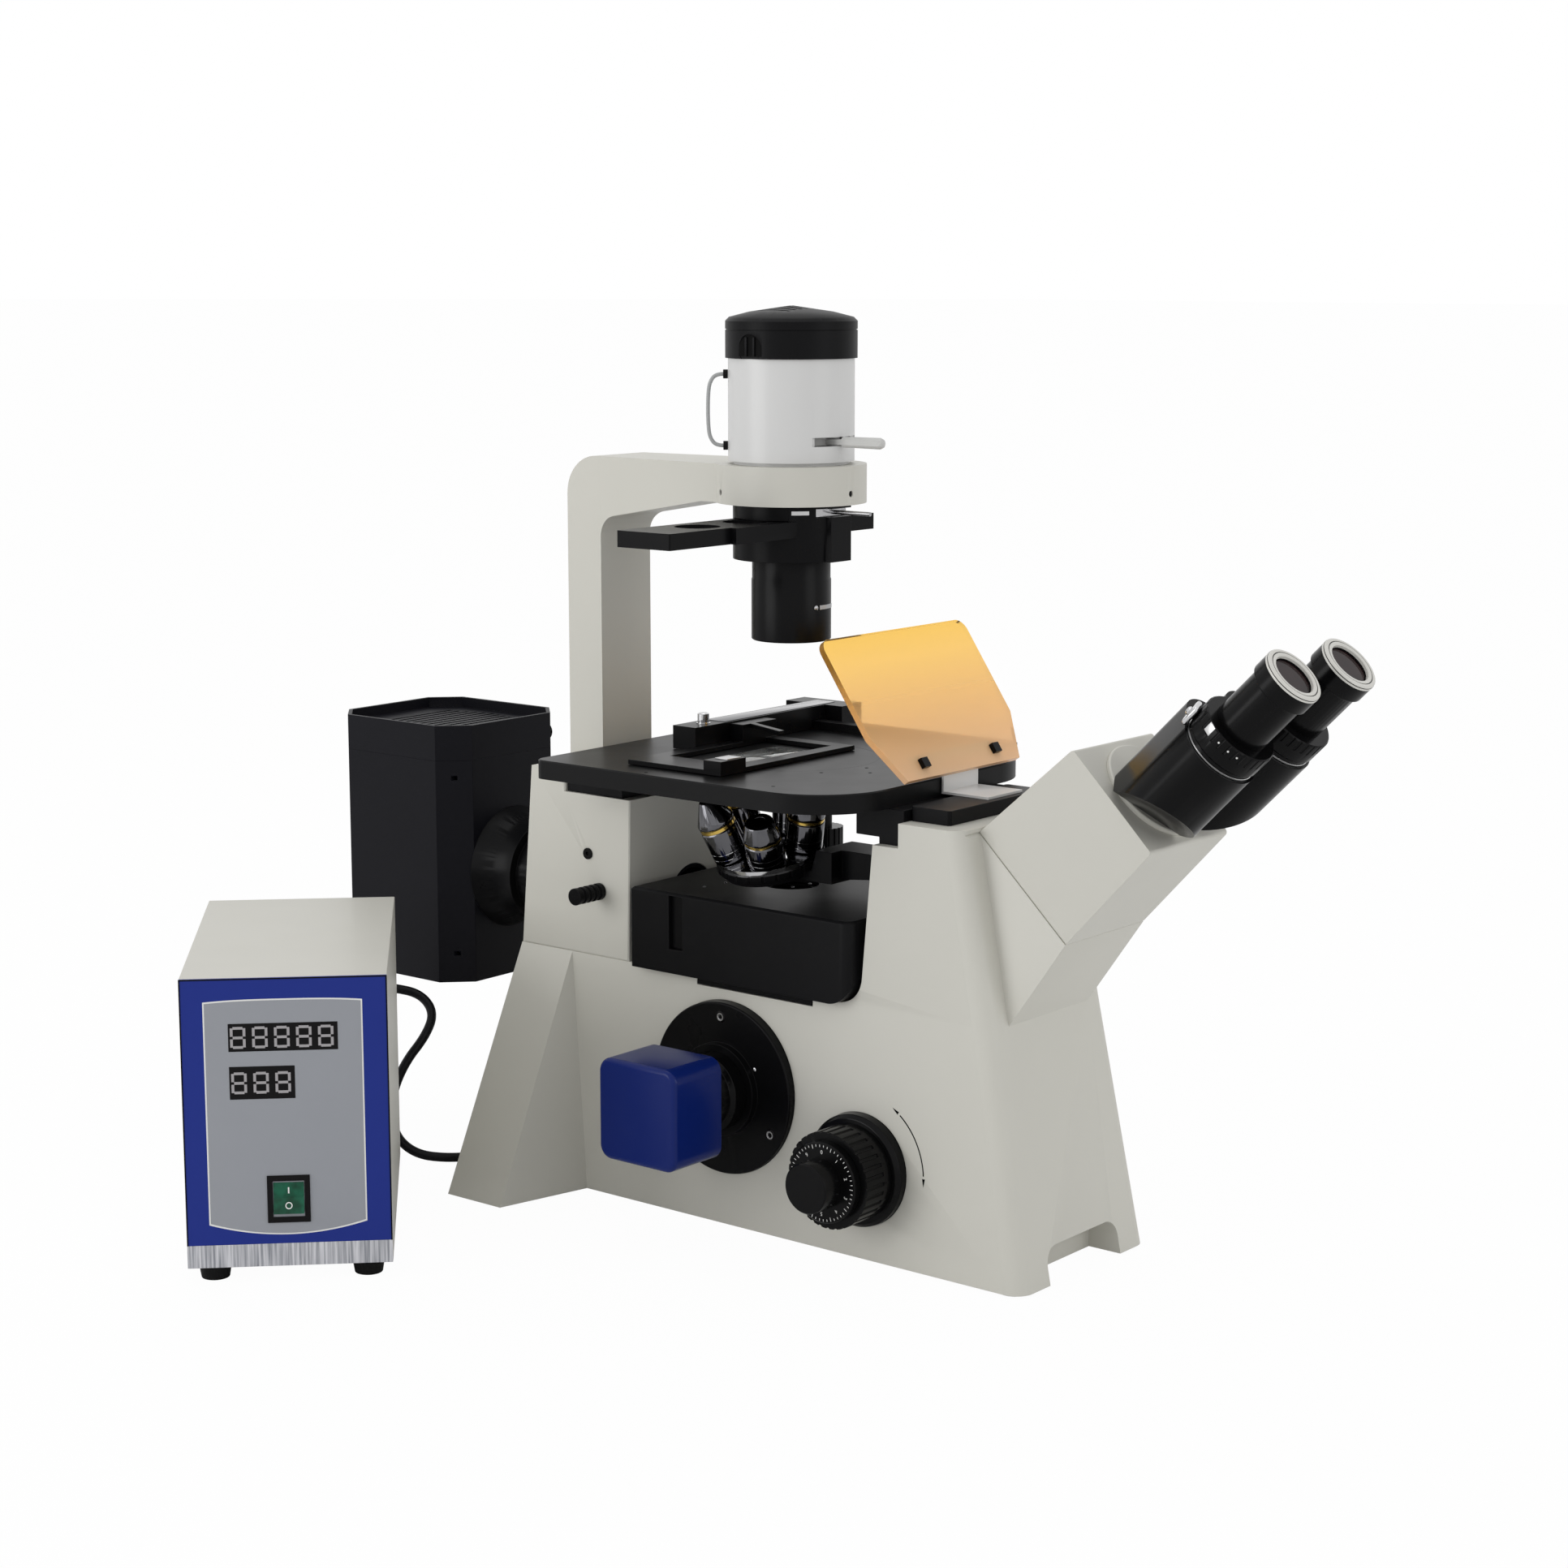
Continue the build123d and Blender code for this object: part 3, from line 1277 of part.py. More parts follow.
def head_box():
    outline = [head_rear_top, head_front_top, head_front_low, head_rear_low]
    box = slab_x(outline, -head_half, head_half)
    for y, z in (head_front_top, head_front_low):
        box = fillet(nearest_edge(box, y, z), head_edge_r)
    bore = head_frame * rod_z(0, 0, head_bore_r, -head_half * 3, head_half)
    box -= bore
    dy = head_rear_low[0] - head_rear_top[0]
    dz = head_rear_low[1] - head_rear_top[1]
    seat_len = math.hypot(dy, dz)
    seat = Plane(origin=(0, head_rear_top[0], head_rear_top[1]), x_dir=(1, 0, 0), z_dir=(0, dz, -dy))
    rim = block(-head_half * 2, head_half * 2, -seat_len * 2, seat_len * 2, -head_seam, head_seam)
    inner_half = head_half - head_seam
    rim -= block(-inner_half, inner_half, -seat_len * 2, seat_len * 2, -head_seam * 2, head_seam * 2)
    return box - seat * rim


def pivot_disc():
    disc = rod_z(0, 0, disc_r, 0, disc_t)
    disc = chamfer(disc.edges().sort_by(Axis.Z)[-1], groove)
    return head_frame * (disc - rod_z(0, 0, head_bore_r, 0, disc_t))


def prism_housing(side):
    low = disc_t + seat_gap
    top = low + housing_len
    eye = (side * eye_x, -eye_drop)
    heel = (side * housing_heel_x, 0)
    rounds = [Pos(*eye) * Edge.make_circle(housing_r), Pos(*heel) * Edge.make_circle(housing_heel_r)]
    section = make_hull(rounds)
    body = extrude(Plane.XY.offset(low) * section, housing_len)
    far = head_half * 3
    inward = math.radians(fold_in + seat_gap * 2)
    outward = math.radians(fold_out + seat_gap * 2)
    keep = [(side * seat_gap, 0),
            (side * far * math.sin(outward), far * math.cos(outward)), (side * far, far),
            (side * far, -far), (side * far * math.sin(inward), -far * math.cos(inward))]
    body &= slab_z(keep, 0, top)
    slope = facet_rise / (housing_r + facet_inset)
    facet_top = low + slope * (far + facet_inset)
    facet = slab_y([
        (-facet_inset, low), (far, facet_top), (far, low - cut_over), (-facet_inset, low - cut_over),
    ], -far, far)
    half_turn = 180
    facet_angle = -facet_turn if side > 0 else half_turn + facet_turn
    body -= Pos(*eye) * Rot(0, 0, facet_angle) * facet
    body += rod_z(*eye, housing_step_r, top, top + housing_step)
    channel_low = low + facet_rise
    channel_h = prism_bore_r * 2
    bores = [Pos(*eye) * Edge.make_circle(prism_bore_r), Pos(*heel) * Edge.make_circle(prism_bore_r)]
    channel = make_hull(bores)
    body -= extrude(Plane.XY.offset(channel_low) * channel, channel_h)
    body -= rod_z(*heel, prism_bore_r, low, channel_low + channel_h)
    body -= rod_z(*eye, eye_tube_r - eye_tube_wall, channel_low + channel_h / 2, top + housing_step)
    return head_frame * body


def diopter_ring(side):
    low = disc_t + seat_gap + housing_len + housing_step + seat_gap
    ring = rod_z(side * eye_x, -eye_drop, diopter_r, low, low + diopter_h)
    ring = chamfer(ring.edges(), groove)
    for index in range(diopter_ribs):
        turn = Pos(side * eye_x, -eye_drop, 0) * Rot(0, 0, index * 360 / diopter_ribs)
        ring -= turn * rod_z(diopter_r + groove / 3, 0, groove, low + diopter_h / 2, low + diopter_h)
    return head_frame * (ring - rod_z(side * eye_x, -eye_drop, eye_tube_r + run_gap, low, low + diopter_h))


def eyepiece(side):
    low = disc_t + seat_gap + housing_len + housing_step
    rim_low = eye_top - eye_rim_h
    inner = eye_tube_r - eye_tube_wall
    tube = turned([
        (inner, low), (eye_tube_r, low),
        (eye_tube_r, rim_low - groove), (eye_rim_r - groove * 2, rim_low - groove),
        (eye_rim_r - groove * 2, rim_low), (eye_rim_r, rim_low + groove), (eye_rim_r, eye_top - groove),
        (eye_rim_r - groove, eye_top), (eye_lens_r + groove, eye_top),
        (eye_lens_r, eye_top - eye_cup_depth),
        (eye_lens_r, eye_top - eye_cup_depth - eye_lens_t), (inner, eye_top - eye_rim_h),
    ])
    lens = rod_z(0, 0, eye_lens_r - run_gap, eye_top - eye_cup_depth - eye_lens_t, eye_top - eye_cup_depth)
    place = Pos(side * eye_x, -eye_drop, 0)
    return group(head_frame * (place * tube), head_frame * (place * lens))


def port_flange():
    disc = rod_x(0, port_z, flange_r, -flange_out_x, -flange_seat_x)
    rim = [edge for edge in disc.edges() if edge.center().X < -flange_out_x + seat_gap]
    disc = chamfer(rim, groove)
    disc += rod_x(0, port_z, flange_boss_r, -flange_out_x - flange_boss_h, -flange_out_x)
    disc -= rod_x(0, port_z, port_bore_r - snout_wall, -foot_half, 0)
    for index in range(3):
        angle = math.radians(90 + 120 * index)
        y = flange_screw_circle * math.cos(angle)
        z = port_z + flange_screw_circle * math.sin(angle)
        disc -= rod_x(y, z, flange_screw_r, -foot_half, -flange_seat_x - groove)
    return disc


def camera_adapter():
    near = flange_out_x + flange_boss_h
    length = camera_near_x - near
    bore = adapter_neck_r - snout_wall
    tube = turned([
        (bore, 0), (adapter_r, 0), (adapter_r, length / 3), (adapter_mid_r, length * 0.4),
        (adapter_mid_r, length * 0.65), (adapter_neck_r, length * 0.7),
        (adapter_neck_r, length), (bore, length),
    ])
    return Pos(-near, 0, port_z) * Rot(0, -90, 0) * tube


def camera_body():
    low = port_z - camera_half_z
    body = block(-camera_far_x, -camera_near_x, -camera_half_y, camera_half_y, low, low + camera_half_z * 2)
    body = fillet(body.edges().filter_by(Axis.X), camera_corner_r)
    body = fillet(body.faces().sort_by(Axis.X)[0].edges(), camera_edge_r)
    return body


def supply_cover():
    cover = block(-supply_half, supply_half, panel_t, supply_depth, supply_low_z + supply_wall, supply_top_z)
    cover -= block(-supply_half + supply_wall, supply_half - supply_wall, 0, supply_depth * 2, 0,
                   supply_top_z - supply_wall)
    return supply_place * cover


def supply_chassis():
    inner = supply_half - supply_wall - seat_gap
    floor = block(-supply_half, supply_half, 0, supply_depth, supply_low_z, supply_low_z + supply_wall)
    lip = block(-supply_half, supply_half, 0, panel_t, supply_low_z, supply_low_z + strip_h)
    back_top = supply_top_z - supply_wall - seat_gap
    back = block(-inner, inner, supply_depth - panel_t, supply_depth, supply_low_z, back_top)
    body = floor + lip + back
    body -= block(inlet_side - inlet_half, inlet_side + inlet_half,
                  supply_depth - panel_t, supply_depth + cut_over,
                  inlet_z, inlet_z + inlet_h)
    body -= rod_y(supply_gland_side, supply_gland_z, gland_r * gland_tip_share,
                  supply_depth - panel_t, supply_depth + cut_over)
    floor_top = supply_low_z + supply_wall
    ballast_front = (supply_depth - ballast_len) / 2
    ballast = block(-ballast_half, ballast_half, ballast_front, ballast_front + ballast_len,
                    floor_top, floor_top + ballast_h)
    return group(supply_place * body, supply_place * ballast)


def supply_panel():
    panel = block(-supply_half, supply_half, 0, panel_t, supply_low_z + strip_h, supply_top_z)
    panel -= block(window_left, window_right, 0, panel_t, window_low, window_high)
    panel -= block(window_left, small_window_right, 0, panel_t, small_window_low, small_window_high)
    panel -= block(-rocker_frame_half, rocker_frame_half, 0, panel_t, rocker_frame_low, rocker_frame_high)
    return supply_place * panel


def supply_fittings():
    front = -fitting_proud
    window = block(window_left, window_right, front / 2, fitting_deep, window_low, window_high)
    small = block(window_left, small_window_right, front / 2, fitting_deep,
                  small_window_low, small_window_high)
    frame = block(-rocker_frame_half, rocker_frame_half, front, fitting_deep * 2,
                  rocker_frame_low, rocker_frame_high)
    mid = (rocker_frame_low + rocker_frame_high) / 2
    hole_half = rocker_half + seat_gap
    reach = rocker_h / 2 + seat_gap * 5
    frame -= block(-hole_half, hole_half, front, fitting_deep * 1.5, mid - reach, mid + reach)
    inlet = block(inlet_side - inlet_half, inlet_side + inlet_half,
                  supply_depth - inlet_deep, supply_depth + fitting_proud,
                  inlet_z, inlet_z + inlet_h)
    inlet -= block(inlet_side - inlet_half + panel_t, inlet_side + inlet_half - panel_t,
                   supply_depth - inlet_deep + panel_t,
                   supply_depth + cut_over, inlet_z + panel_t, inlet_z + inlet_h - panel_t)
    return group(*[supply_place * piece for piece in (window, small, frame, inlet)])


def rocker_switch():
    mid = (rocker_frame_low + rocker_frame_high) / 2
    half = rocker_h / 2
    sink = fitting_proud * 1.6
    outline = [(-sink, mid - half), (fitting_proud, mid - half + groove), (fitting_deep, mid - groove),
               (fitting_deep, mid + groove), (fitting_proud, mid + half - groove),
               (-sink, mid + half), (-groove, mid)]
    rocker = slab_x(outline, -rocker_half, rocker_half)
    pin_y = fitting_deep * 0.8
    rocker += rod_x(pin_y, mid, groove, -rocker_half - seat_gap, rocker_half + seat_gap)
    turn = Pos(0, pin_y, mid) * Rot(-rocker_tilt, 0, 0) * Pos(0, -pin_y, -mid)
    return supply_place * (turn * rocker)


def cable_glands():
    tip_r = gland_r * gland_tip_share
    seat_r = tip_r - run_gap
    supply = turned([
        (cable_r, 0), (gland_r, 0), (gland_r, gland_len / 2), (tip_r, gland_len), (cable_r, gland_len),
    ])
    pocket = turned([(cable_r, -panel_t), (seat_r, -panel_t), (seat_r, 0), (cable_r, 0)])
    seat = Pos(supply_gland_side, supply_depth, supply_gland_z) * Rot(-90, 0, 0)
    at_supply = supply_place * (seat * (supply + pocket))
    at_house = Pos(house_gland_x, house_gland_y, house_low_z) * Rot(180, 0, 0) * supply
    pieces = [at_supply, at_house]
    for z in (lead_high_z, lead_low_z):
        seat = rod_x(0, z, lead_gland_r - groove - run_gap, lamp_r - lamp_wall, lamp_r)
        lead = seat + rod_x(0, z, lead_gland_r, lamp_r + run_gap, lamp_r + lead_gland_len)
        pieces.append(Rot(0, 0, lead_angle) * lead)
    return group(*pieces)


def tube_along(points, radius):
    runs = [(Vector(*b) - Vector(*a)).length for a, b in zip(points, points[1:])]
    radii = []
    for index in range(1, len(points) - 1):
        before = Vector(*points[index]) - Vector(*points[index - 1])
        after = Vector(*points[index + 1]) - Vector(*points[index])
        turn = math.radians(before.get_angle(after))
        radii.append(0.45 * min(runs[index - 1], runs[index]) / math.tan(turn / 2))
    path = FilletPolyline(*points, radius=radii)
    start = Plane(origin=points[0], z_dir=Vector(*points[1]) - Vector(*points[0]))
    tube = sweep(start * Circle(radius), path=path)
    share = tube.volume / (math.pi * radius**2 * path.length)
    print("cord length", round(path.length, 1), "smallest radius", round(min(radii)),
          "share", round(share, 3))
    return tube


def local_point(side, depth, z):
    angle = math.radians(supply_turn)
    x = supply_x + side * math.cos(angle) - depth * math.sin(angle)
    y = supply_y + side * math.sin(angle) + depth * math.cos(angle)
    return (x, y, z)


def supply_cable():
    start = local_point(supply_gland_side, supply_depth + gland_len, supply_gland_z)
    behind = local_point(supply_gland_side, supply_depth + gland_len + cable_start_len, supply_gland_z)
    end = (house_gland_x, house_gland_y, house_low_z - gland_len)
    return tube_along([start, behind, *cable_bends, end], cable_r)


def lamp_lead():
    angle = math.radians(lead_angle)
    start = lamp_r + lead_gland_len
    reach = [
        (0, lead_high_z), (lead_straight, lead_high_z), (lead_bend, lead_high_z - lead_bend_drop),
        (lead_reach, lead_high_z - lead_side_drop), (lead_reach, lead_low_z + lead_side_drop),
        (lead_bend, lead_low_z + lead_bend_drop), (lead_straight, lead_low_z), (0, lead_low_z),
    ]
    points = [((start + r) * math.cos(angle), (start + r) * math.sin(angle), z) for r, z in reach]
    return tube_along(points, lead_r)


nodes = {
    "stand_casting": stand_casting,
    "base_plate": base_plate,
    "rubber_feet": rubber_feet,
    "optics": optics,
    "rear_housing": rear_housing,
    "pull_rod": pull_rod,
    "illumination_arm": illumination_arm,
    "lamp_shell": lamp_shell,
    "lamp_cap": lamp_cap,
    "lamps": lamps,
    "field_lever": field_lever,
    "condenser": condenser,
    "phase_slider": phase_slider,
    "aperture_lever": aperture_lever,
    "stage_plate": stage_plate,
    "stage_insert": stage_insert,
    "stage_supports": stage_supports,
    "y_carriage": y_carriage,
    "specimen_holder": specimen_holder,
    "stage_knob_y": lambda: stage_knob(y_knob_r, 1),
    "stage_knob_x": lambda: stage_knob(x_knob_r, 0),
    "shield": shield,
    "shield_bracket": shield_bracket,
    "machine_screws": machine_screws,
    "nosepiece_carrier": nosepiece_carrier,
    "turret_dome": turret_dome,
    "turret_ring": turret_ring,
    "objective_1": lambda: objective(0),
    "objective_2": lambda: objective(1),
    "objective_3": lambda: objective(2),
    "objective_4": lambda: objective(3),
    "objective_5": lambda: objective(4),
    "focus_collars": focus_collars,
    "coarse_focus": coarse_focus,
    "fine_focus": fine_focus,
    "filter_box": filter_box,
    "filter_slider": filter_slider,
    "filter_cube": filter_cube,
    "epi_tube": epi_tube,
    "lamphouse_shell": lamphouse_shell,
    "lamphouse_lid": lamphouse_lid,
    "lamphouse_knob": lamphouse_knob,
    "head_box": lambda: group(head_box(), pivot_disc()),
    "prism_housing_left": lambda: prism_housing(-1),
    "prism_housing_right": lambda: prism_housing(1),
    "diopter_ring_left": lambda: diopter_ring(-1),
    "diopter_ring_right": lambda: diopter_ring(1),
    "eyepiece_left": lambda: eyepiece(-1),
    "eyepiece_right": lambda: eyepiece(1),
    "port_flange": port_flange,
    "camera_adapter": camera_adapter,
    "camera_body": camera_body,
    "supply_cover": supply_cover,
    "supply_chassis": supply_chassis,
    "supply_panel": supply_panel,
    "supply_fittings": supply_fittings,
    "rocker_switch": rocker_switch,
    "cable_glands": cable_glands,
    "supply_cable": supply_cable,
    "lamp_lead": lamp_lead,
}

os.makedirs("parts", exist_ok=True)
for name, make in nodes.items():
    export_step(make(), f"parts/{name}.step")
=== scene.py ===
# %% [markdown]
# # An inverted microscope, dressed in Blender
# The solids of this instrument come from a frame that holds every piece at its real size.
# This lesson gives each of them its finish, rebuilds the round and ribbed pieces with finer meshes,
# and adds the small things that make the object look real: screws, scales, displays and glass.

# %% Load the frame
import bpy
import bmesh
import json
import math
from mathutils import Matrix, Vector
from mathutils.bvhtree import BVHTree


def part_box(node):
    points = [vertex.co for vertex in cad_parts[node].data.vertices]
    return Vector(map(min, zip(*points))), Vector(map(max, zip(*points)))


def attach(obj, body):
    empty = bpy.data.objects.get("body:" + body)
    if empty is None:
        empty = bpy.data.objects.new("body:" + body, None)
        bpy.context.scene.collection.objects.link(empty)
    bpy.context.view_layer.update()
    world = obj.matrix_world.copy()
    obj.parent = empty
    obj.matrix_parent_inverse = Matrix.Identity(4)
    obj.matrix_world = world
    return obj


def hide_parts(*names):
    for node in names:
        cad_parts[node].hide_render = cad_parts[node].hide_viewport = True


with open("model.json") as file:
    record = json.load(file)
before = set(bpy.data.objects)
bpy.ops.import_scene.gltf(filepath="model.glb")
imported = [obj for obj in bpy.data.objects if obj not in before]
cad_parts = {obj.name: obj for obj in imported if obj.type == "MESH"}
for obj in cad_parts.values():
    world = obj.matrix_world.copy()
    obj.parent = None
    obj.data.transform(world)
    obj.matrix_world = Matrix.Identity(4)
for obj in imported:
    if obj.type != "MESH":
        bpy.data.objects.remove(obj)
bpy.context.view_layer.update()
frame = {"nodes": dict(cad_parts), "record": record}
MM = 0.001


# %% [markdown]
# ## The camera
# The viewing angle was worked out from the edges of the instrument in the photograph.
# The lens is longer than a normal one of 50 mm, so the perspective is gentle.

# %% Camera
VIEW_AZIMUTH = math.radians(-51.036)
VIEW_PITCH = math.radians(9.771)
VIEW_PLACE = (-1.4730, -1.1854, 0.5990)
VIEW_LENS = 69.54
SENSOR_WIDTH = 36
FAR_LIMIT = 50

camera_data = bpy.data.cameras.new("camera")
camera_data.lens = VIEW_LENS
camera_data.sensor_width = SENSOR_WIDTH
camera_data.clip_end = FAR_LIMIT
camera = bpy.data.objects.new("camera", camera_data)
camera.location = VIEW_PLACE
camera.rotation_euler = (math.pi / 2 - VIEW_PITCH, 0, VIEW_AZIMUTH)
bpy.context.scene.collection.objects.link(camera)
bpy.context.scene.camera = camera
print("camera at", VIEW_PLACE, "with a lens of", VIEW_LENS)


# %% [markdown]
# ## Finishes
# Every finish is made of nodes that read the object's own coordinates, so it stays on the piece
# when the piece moves. One helper lays down a painted or moulded surface: a little cloudy variation
# in the colour and the gloss, and a fine grain as bump. Metals, glass and rubber build on the same idea.

# %% Node helpers
GRAIN_DEPTH = 0.0002


def start_finish(name, color, metallic=0.0, roughness=0.5):
    """A new finish with one colour, and the parts of its node tree."""
    material = bpy.data.materials.new(name)
    material.use_nodes = True
    nodes = material.node_tree.nodes
    shader = nodes["Principled BSDF"]
    shader.inputs["Base Color"].default_value = (*color, 1)
    shader.inputs["Metallic"].default_value = metallic
    shader.inputs["Roughness"].default_value = roughness
    material.diffuse_color = (*color, 1)
    return material, nodes, material.node_tree.links, shader


def grain(nodes, links, scale, detail=4.0, stretch=(1, 1, 1)):
    """Noise that is laid out on the object, with the given number of grains in a metre."""
    place = nodes.new("ShaderNodeTexCoord")
    mapping = nodes.new("ShaderNodeMapping")
    mapping.inputs["Scale"].default_value = stretch
    noise = nodes.new("ShaderNodeTexNoise")
    noise.inputs["Scale"].default_value = scale
    noise.inputs["Detail"].default_value = detail
    links.new(place.outputs["Object"], mapping.inputs["Vector"])
    links.new(mapping.outputs["Vector"], noise.inputs["Vector"])
    return noise.outputs["Fac"]


def ramp(nodes, links, value, low, high, start=0.35, end=0.65):
    """Turns the range from start to end into the range from low to high."""
    node = nodes.new("ShaderNodeMapRange")
    node.inputs["From Min"].default_value = start
    node.inputs["From Max"].default_value = end
    node.inputs["To Min"].default_value = low
    node.inputs["To Max"].default_value = high
    links.new(value, node.inputs["Value"])
    return node.outputs["Result"]


def tint(nodes, links, value, dark, light):
    """A colour between dark and light, as the value says."""
    node = nodes.new("ShaderNodeMix")
    node.data_type = "RGBA"
    node.inputs["A"].default_value = (*dark, 1)
    node.inputs["B"].default_value = (*light, 1)
    links.new(value, node.inputs["Factor"])
    return node.outputs["Result"]


def roughen(nodes, links, shader, value, strength):
    """Makes the value a fine relief."""
    node = nodes.new("ShaderNodeBump")
    node.inputs["Strength"].default_value = strength
    node.inputs["Distance"].default_value = GRAIN_DEPTH
    links.new(value, node.inputs["Height"])
    links.new(node.outputs["Normal"], shader.inputs["Normal"])


def shade(color, factor):
    """The same hue, so many times as bright."""
    return tuple(channel * factor for channel in color)


print("node helpers ready")


# %% [markdown]
# A painted or moulded surface has three layers of noise: broad clouds in its colour, smaller smudges
# in its gloss, and the fine grain that the light rakes over. Blacks get a low specular level,
# because the white room would otherwise turn them grey.

# %% Painted, moulded and metal finishes
CLOUD_SCALE, CLOUD_DETAIL = 9, 3
SMUDGE_SCALE, SMUDGE_DETAIL = 30, 6
FINE_DETAIL = 2
GLOSS_BELOW, GLOSS_ABOVE = 0.02, 0.03
NOISE_MIDDLE = (0.25, 0.75)
COAT_ROUGHNESS = 0.12


def surface(name, color, roughness, grain_size, bump, cloud=0.03, coat=0.0, metallic=0.0, specular=0.5,
            stretch=(1, 1, 1)):
    """A finish with a cloudy colour, an uneven gloss and a fine grain of the given size in metres."""
    material, nodes, links, shader = start_finish(name, color, metallic, roughness)
    shader.inputs["Coat Weight"].default_value = coat
    shader.inputs["Coat Roughness"].default_value = COAT_ROUGHNESS
    shader.inputs["Specular IOR Level"].default_value = specular
    clouds = grain(nodes, links, CLOUD_SCALE, CLOUD_DETAIL)
    links.new(tint(nodes, links, ramp(nodes, links, clouds, 0, 1, *NOISE_MIDDLE), shade(color, 1 - cloud),
                   shade(color, 1 + cloud / 3)), shader.inputs["Base Color"])
    smudges = grain(nodes, links, SMUDGE_SCALE, SMUDGE_DETAIL)
    links.new(ramp(nodes, links, smudges, roughness - GLOSS_BELOW, roughness + GLOSS_ABOVE, *NOISE_MIDDLE),
              shader.inputs["Roughness"])
    roughen(nodes, links, shader, grain(nodes, links, 1 / grain_size, FINE_DETAIL, stretch), bump)
    return material


cream_paint = surface("cream_paint", (0.60, 0.59, 0.535), 0.45, 0.0011, 0.05, cloud=0.02, coat=0.05)
white_enamel = surface("white_enamel", (0.66, 0.66, 0.655), 0.34, 0.003, 0.02, cloud=0.01, coat=0.1)
lever_grey = surface("lever_grey", (0.58, 0.58, 0.565), 0.55, 0.002, 0.03, cloud=0.02)
black_paint = surface("black_paint", (0.0055, 0.0055, 0.0062), 0.38, 0.0008, 0.10, cloud=0.2, specular=0.09)
stage_black = surface("stage_black", (0.0040, 0.0040, 0.0045), 0.34, 0.0008, 0.08, cloud=0.2, specular=0.13)
black_anodised = surface("black_anodised", (0.0045, 0.0045, 0.005), 0.28, 0.0006, 0.05, cloud=0.2,
                         specular=0.09)
black_moulded = surface("black_moulded", (0.0035, 0.0035, 0.0038), 0.20, 0.0009, 0.04, cloud=0.2,
                        specular=0.11)
black_crinkle = surface("black_crinkle", (0.0050, 0.0050, 0.0078), 0.42, 0.0011, 0.2, cloud=0.2,
                        specular=0.11)
rubber = surface("rubber", (0.006, 0.006, 0.006), 0.6, 0.0009, 0.2, cloud=0.2, specular=0.12)
cable_skin = surface("cable_skin", (0.005, 0.005, 0.006), 0.38, 0.0012, 0.08, cloud=0.2, specular=0.16)
lead_skin = surface("lead_skin", (0.40, 0.41, 0.41), 0.45, 0.0012, 0.05, cloud=0.05)
camera_blue = surface("camera_blue", (0.004, 0.0145, 0.125), 0.20, 0.0007, 0.04, cloud=0.06, specular=0.16)
panel_blue = surface("panel_blue", (0.010, 0.026, 0.225), 0.42, 0.0012, 0.04, cloud=0.04, specular=0.2)
panel_grey = surface("panel_grey", (0.285, 0.297, 0.325), 0.45, 0.0012, 0.04)
# Dark display windows, and also painted shade in the flange's screw sockets.
window_and_shade_black = surface("window_and_shade_black", (0.006, 0.0055, 0.006), 0.16, 0.002, 0.01, cloud=0.1, specular=0.10)
segment_grey = surface("segment_grey", (0.34, 0.325, 0.335), 0.4, 0.002, 0.01, cloud=0.05)
ink_white = surface("ink_white", (0.78, 0.78, 0.76), 0.5, 0.002, 0.01, cloud=0.02)
# Printed marks, and also painted shade: the dark louvre arches, the stage holes and a condenser screw hole.
ink_and_shade_black = surface("ink_and_shade_black", (0.004, 0.004, 0.004), 0.6, 0.002, 0.01, cloud=0.02, specular=0.05)
rim_white = surface("rim_white", (0.66, 0.65, 0.61), 0.35, 0.002, 0.02, cloud=0.04)
chrome = surface("chrome", (0.62, 0.62, 0.63), 0.08, 0.004, 0.01, cloud=0.04, metallic=1.0)
dark_chrome = surface("dark_chrome", (0.13, 0.13, 0.14), 0.09, 0.004, 0.01, cloud=0.1, metallic=1.0)
steel = surface("steel", (0.46, 0.46, 0.47), 0.28, 0.0004, 0.08, cloud=0.08, metallic=1.0, stretch=(1, 1, 12))
silver_satin = surface("silver_satin", (0.62, 0.62, 0.62), 0.3, 0.0004, 0.06, cloud=0.06, metallic=1.0)
gold_ring = surface("gold_ring", (0.72, 0.50, 0.12), 0.22, 0.002, 0.02, cloud=0.08, metallic=1.0)
print("painted, moulded and metal finishes ready")


# %% [markdown]
# Clear pieces need care. The shield is a tinted sheet that light goes through, so it gets transmission
# and a colour that goes with height, from clear deep amber at the top to a milky pink at the foot.
# Lenses are clear with a slight blue coating, and the eyepieces' lenses look almost black.

# %% Clear finishes
HAZE_SCALE, HAZE_DETAIL = 25, 4
SHIELD_IOR = 1.2
SHIELD_FOOT, SHIELD_TOP = (1.0, 0.66, 0.40), (1.0, 0.63, 0.13)
FOOT_CLEAR, TOP_CLEAR, CLEAR_FROM = 0.22, 0.92, 0.8
BRUSH_SCALE, BRUSH_DETAIL, BRUSH_STRETCH, BRUSH_BUMP = 700, 3, (1, 1, 0.03), 0.25
DRIFT_DETAIL = 2


def drifting_finish(name, color, roughness, scale, dark, light, sockets):
    """A smooth finish whose colour drifts between two shades, with some sockets set as well."""
    material, nodes, links, shader = start_finish(name, color, 0, roughness)
    for socket, value in sockets.items():
        shader.inputs[socket].default_value = value
    drift = grain(nodes, links, scale, DRIFT_DETAIL)
    links.new(tint(nodes, links, ramp(nodes, links, drift, 0, 1), dark, light), shader.inputs["Base Color"])
    return material


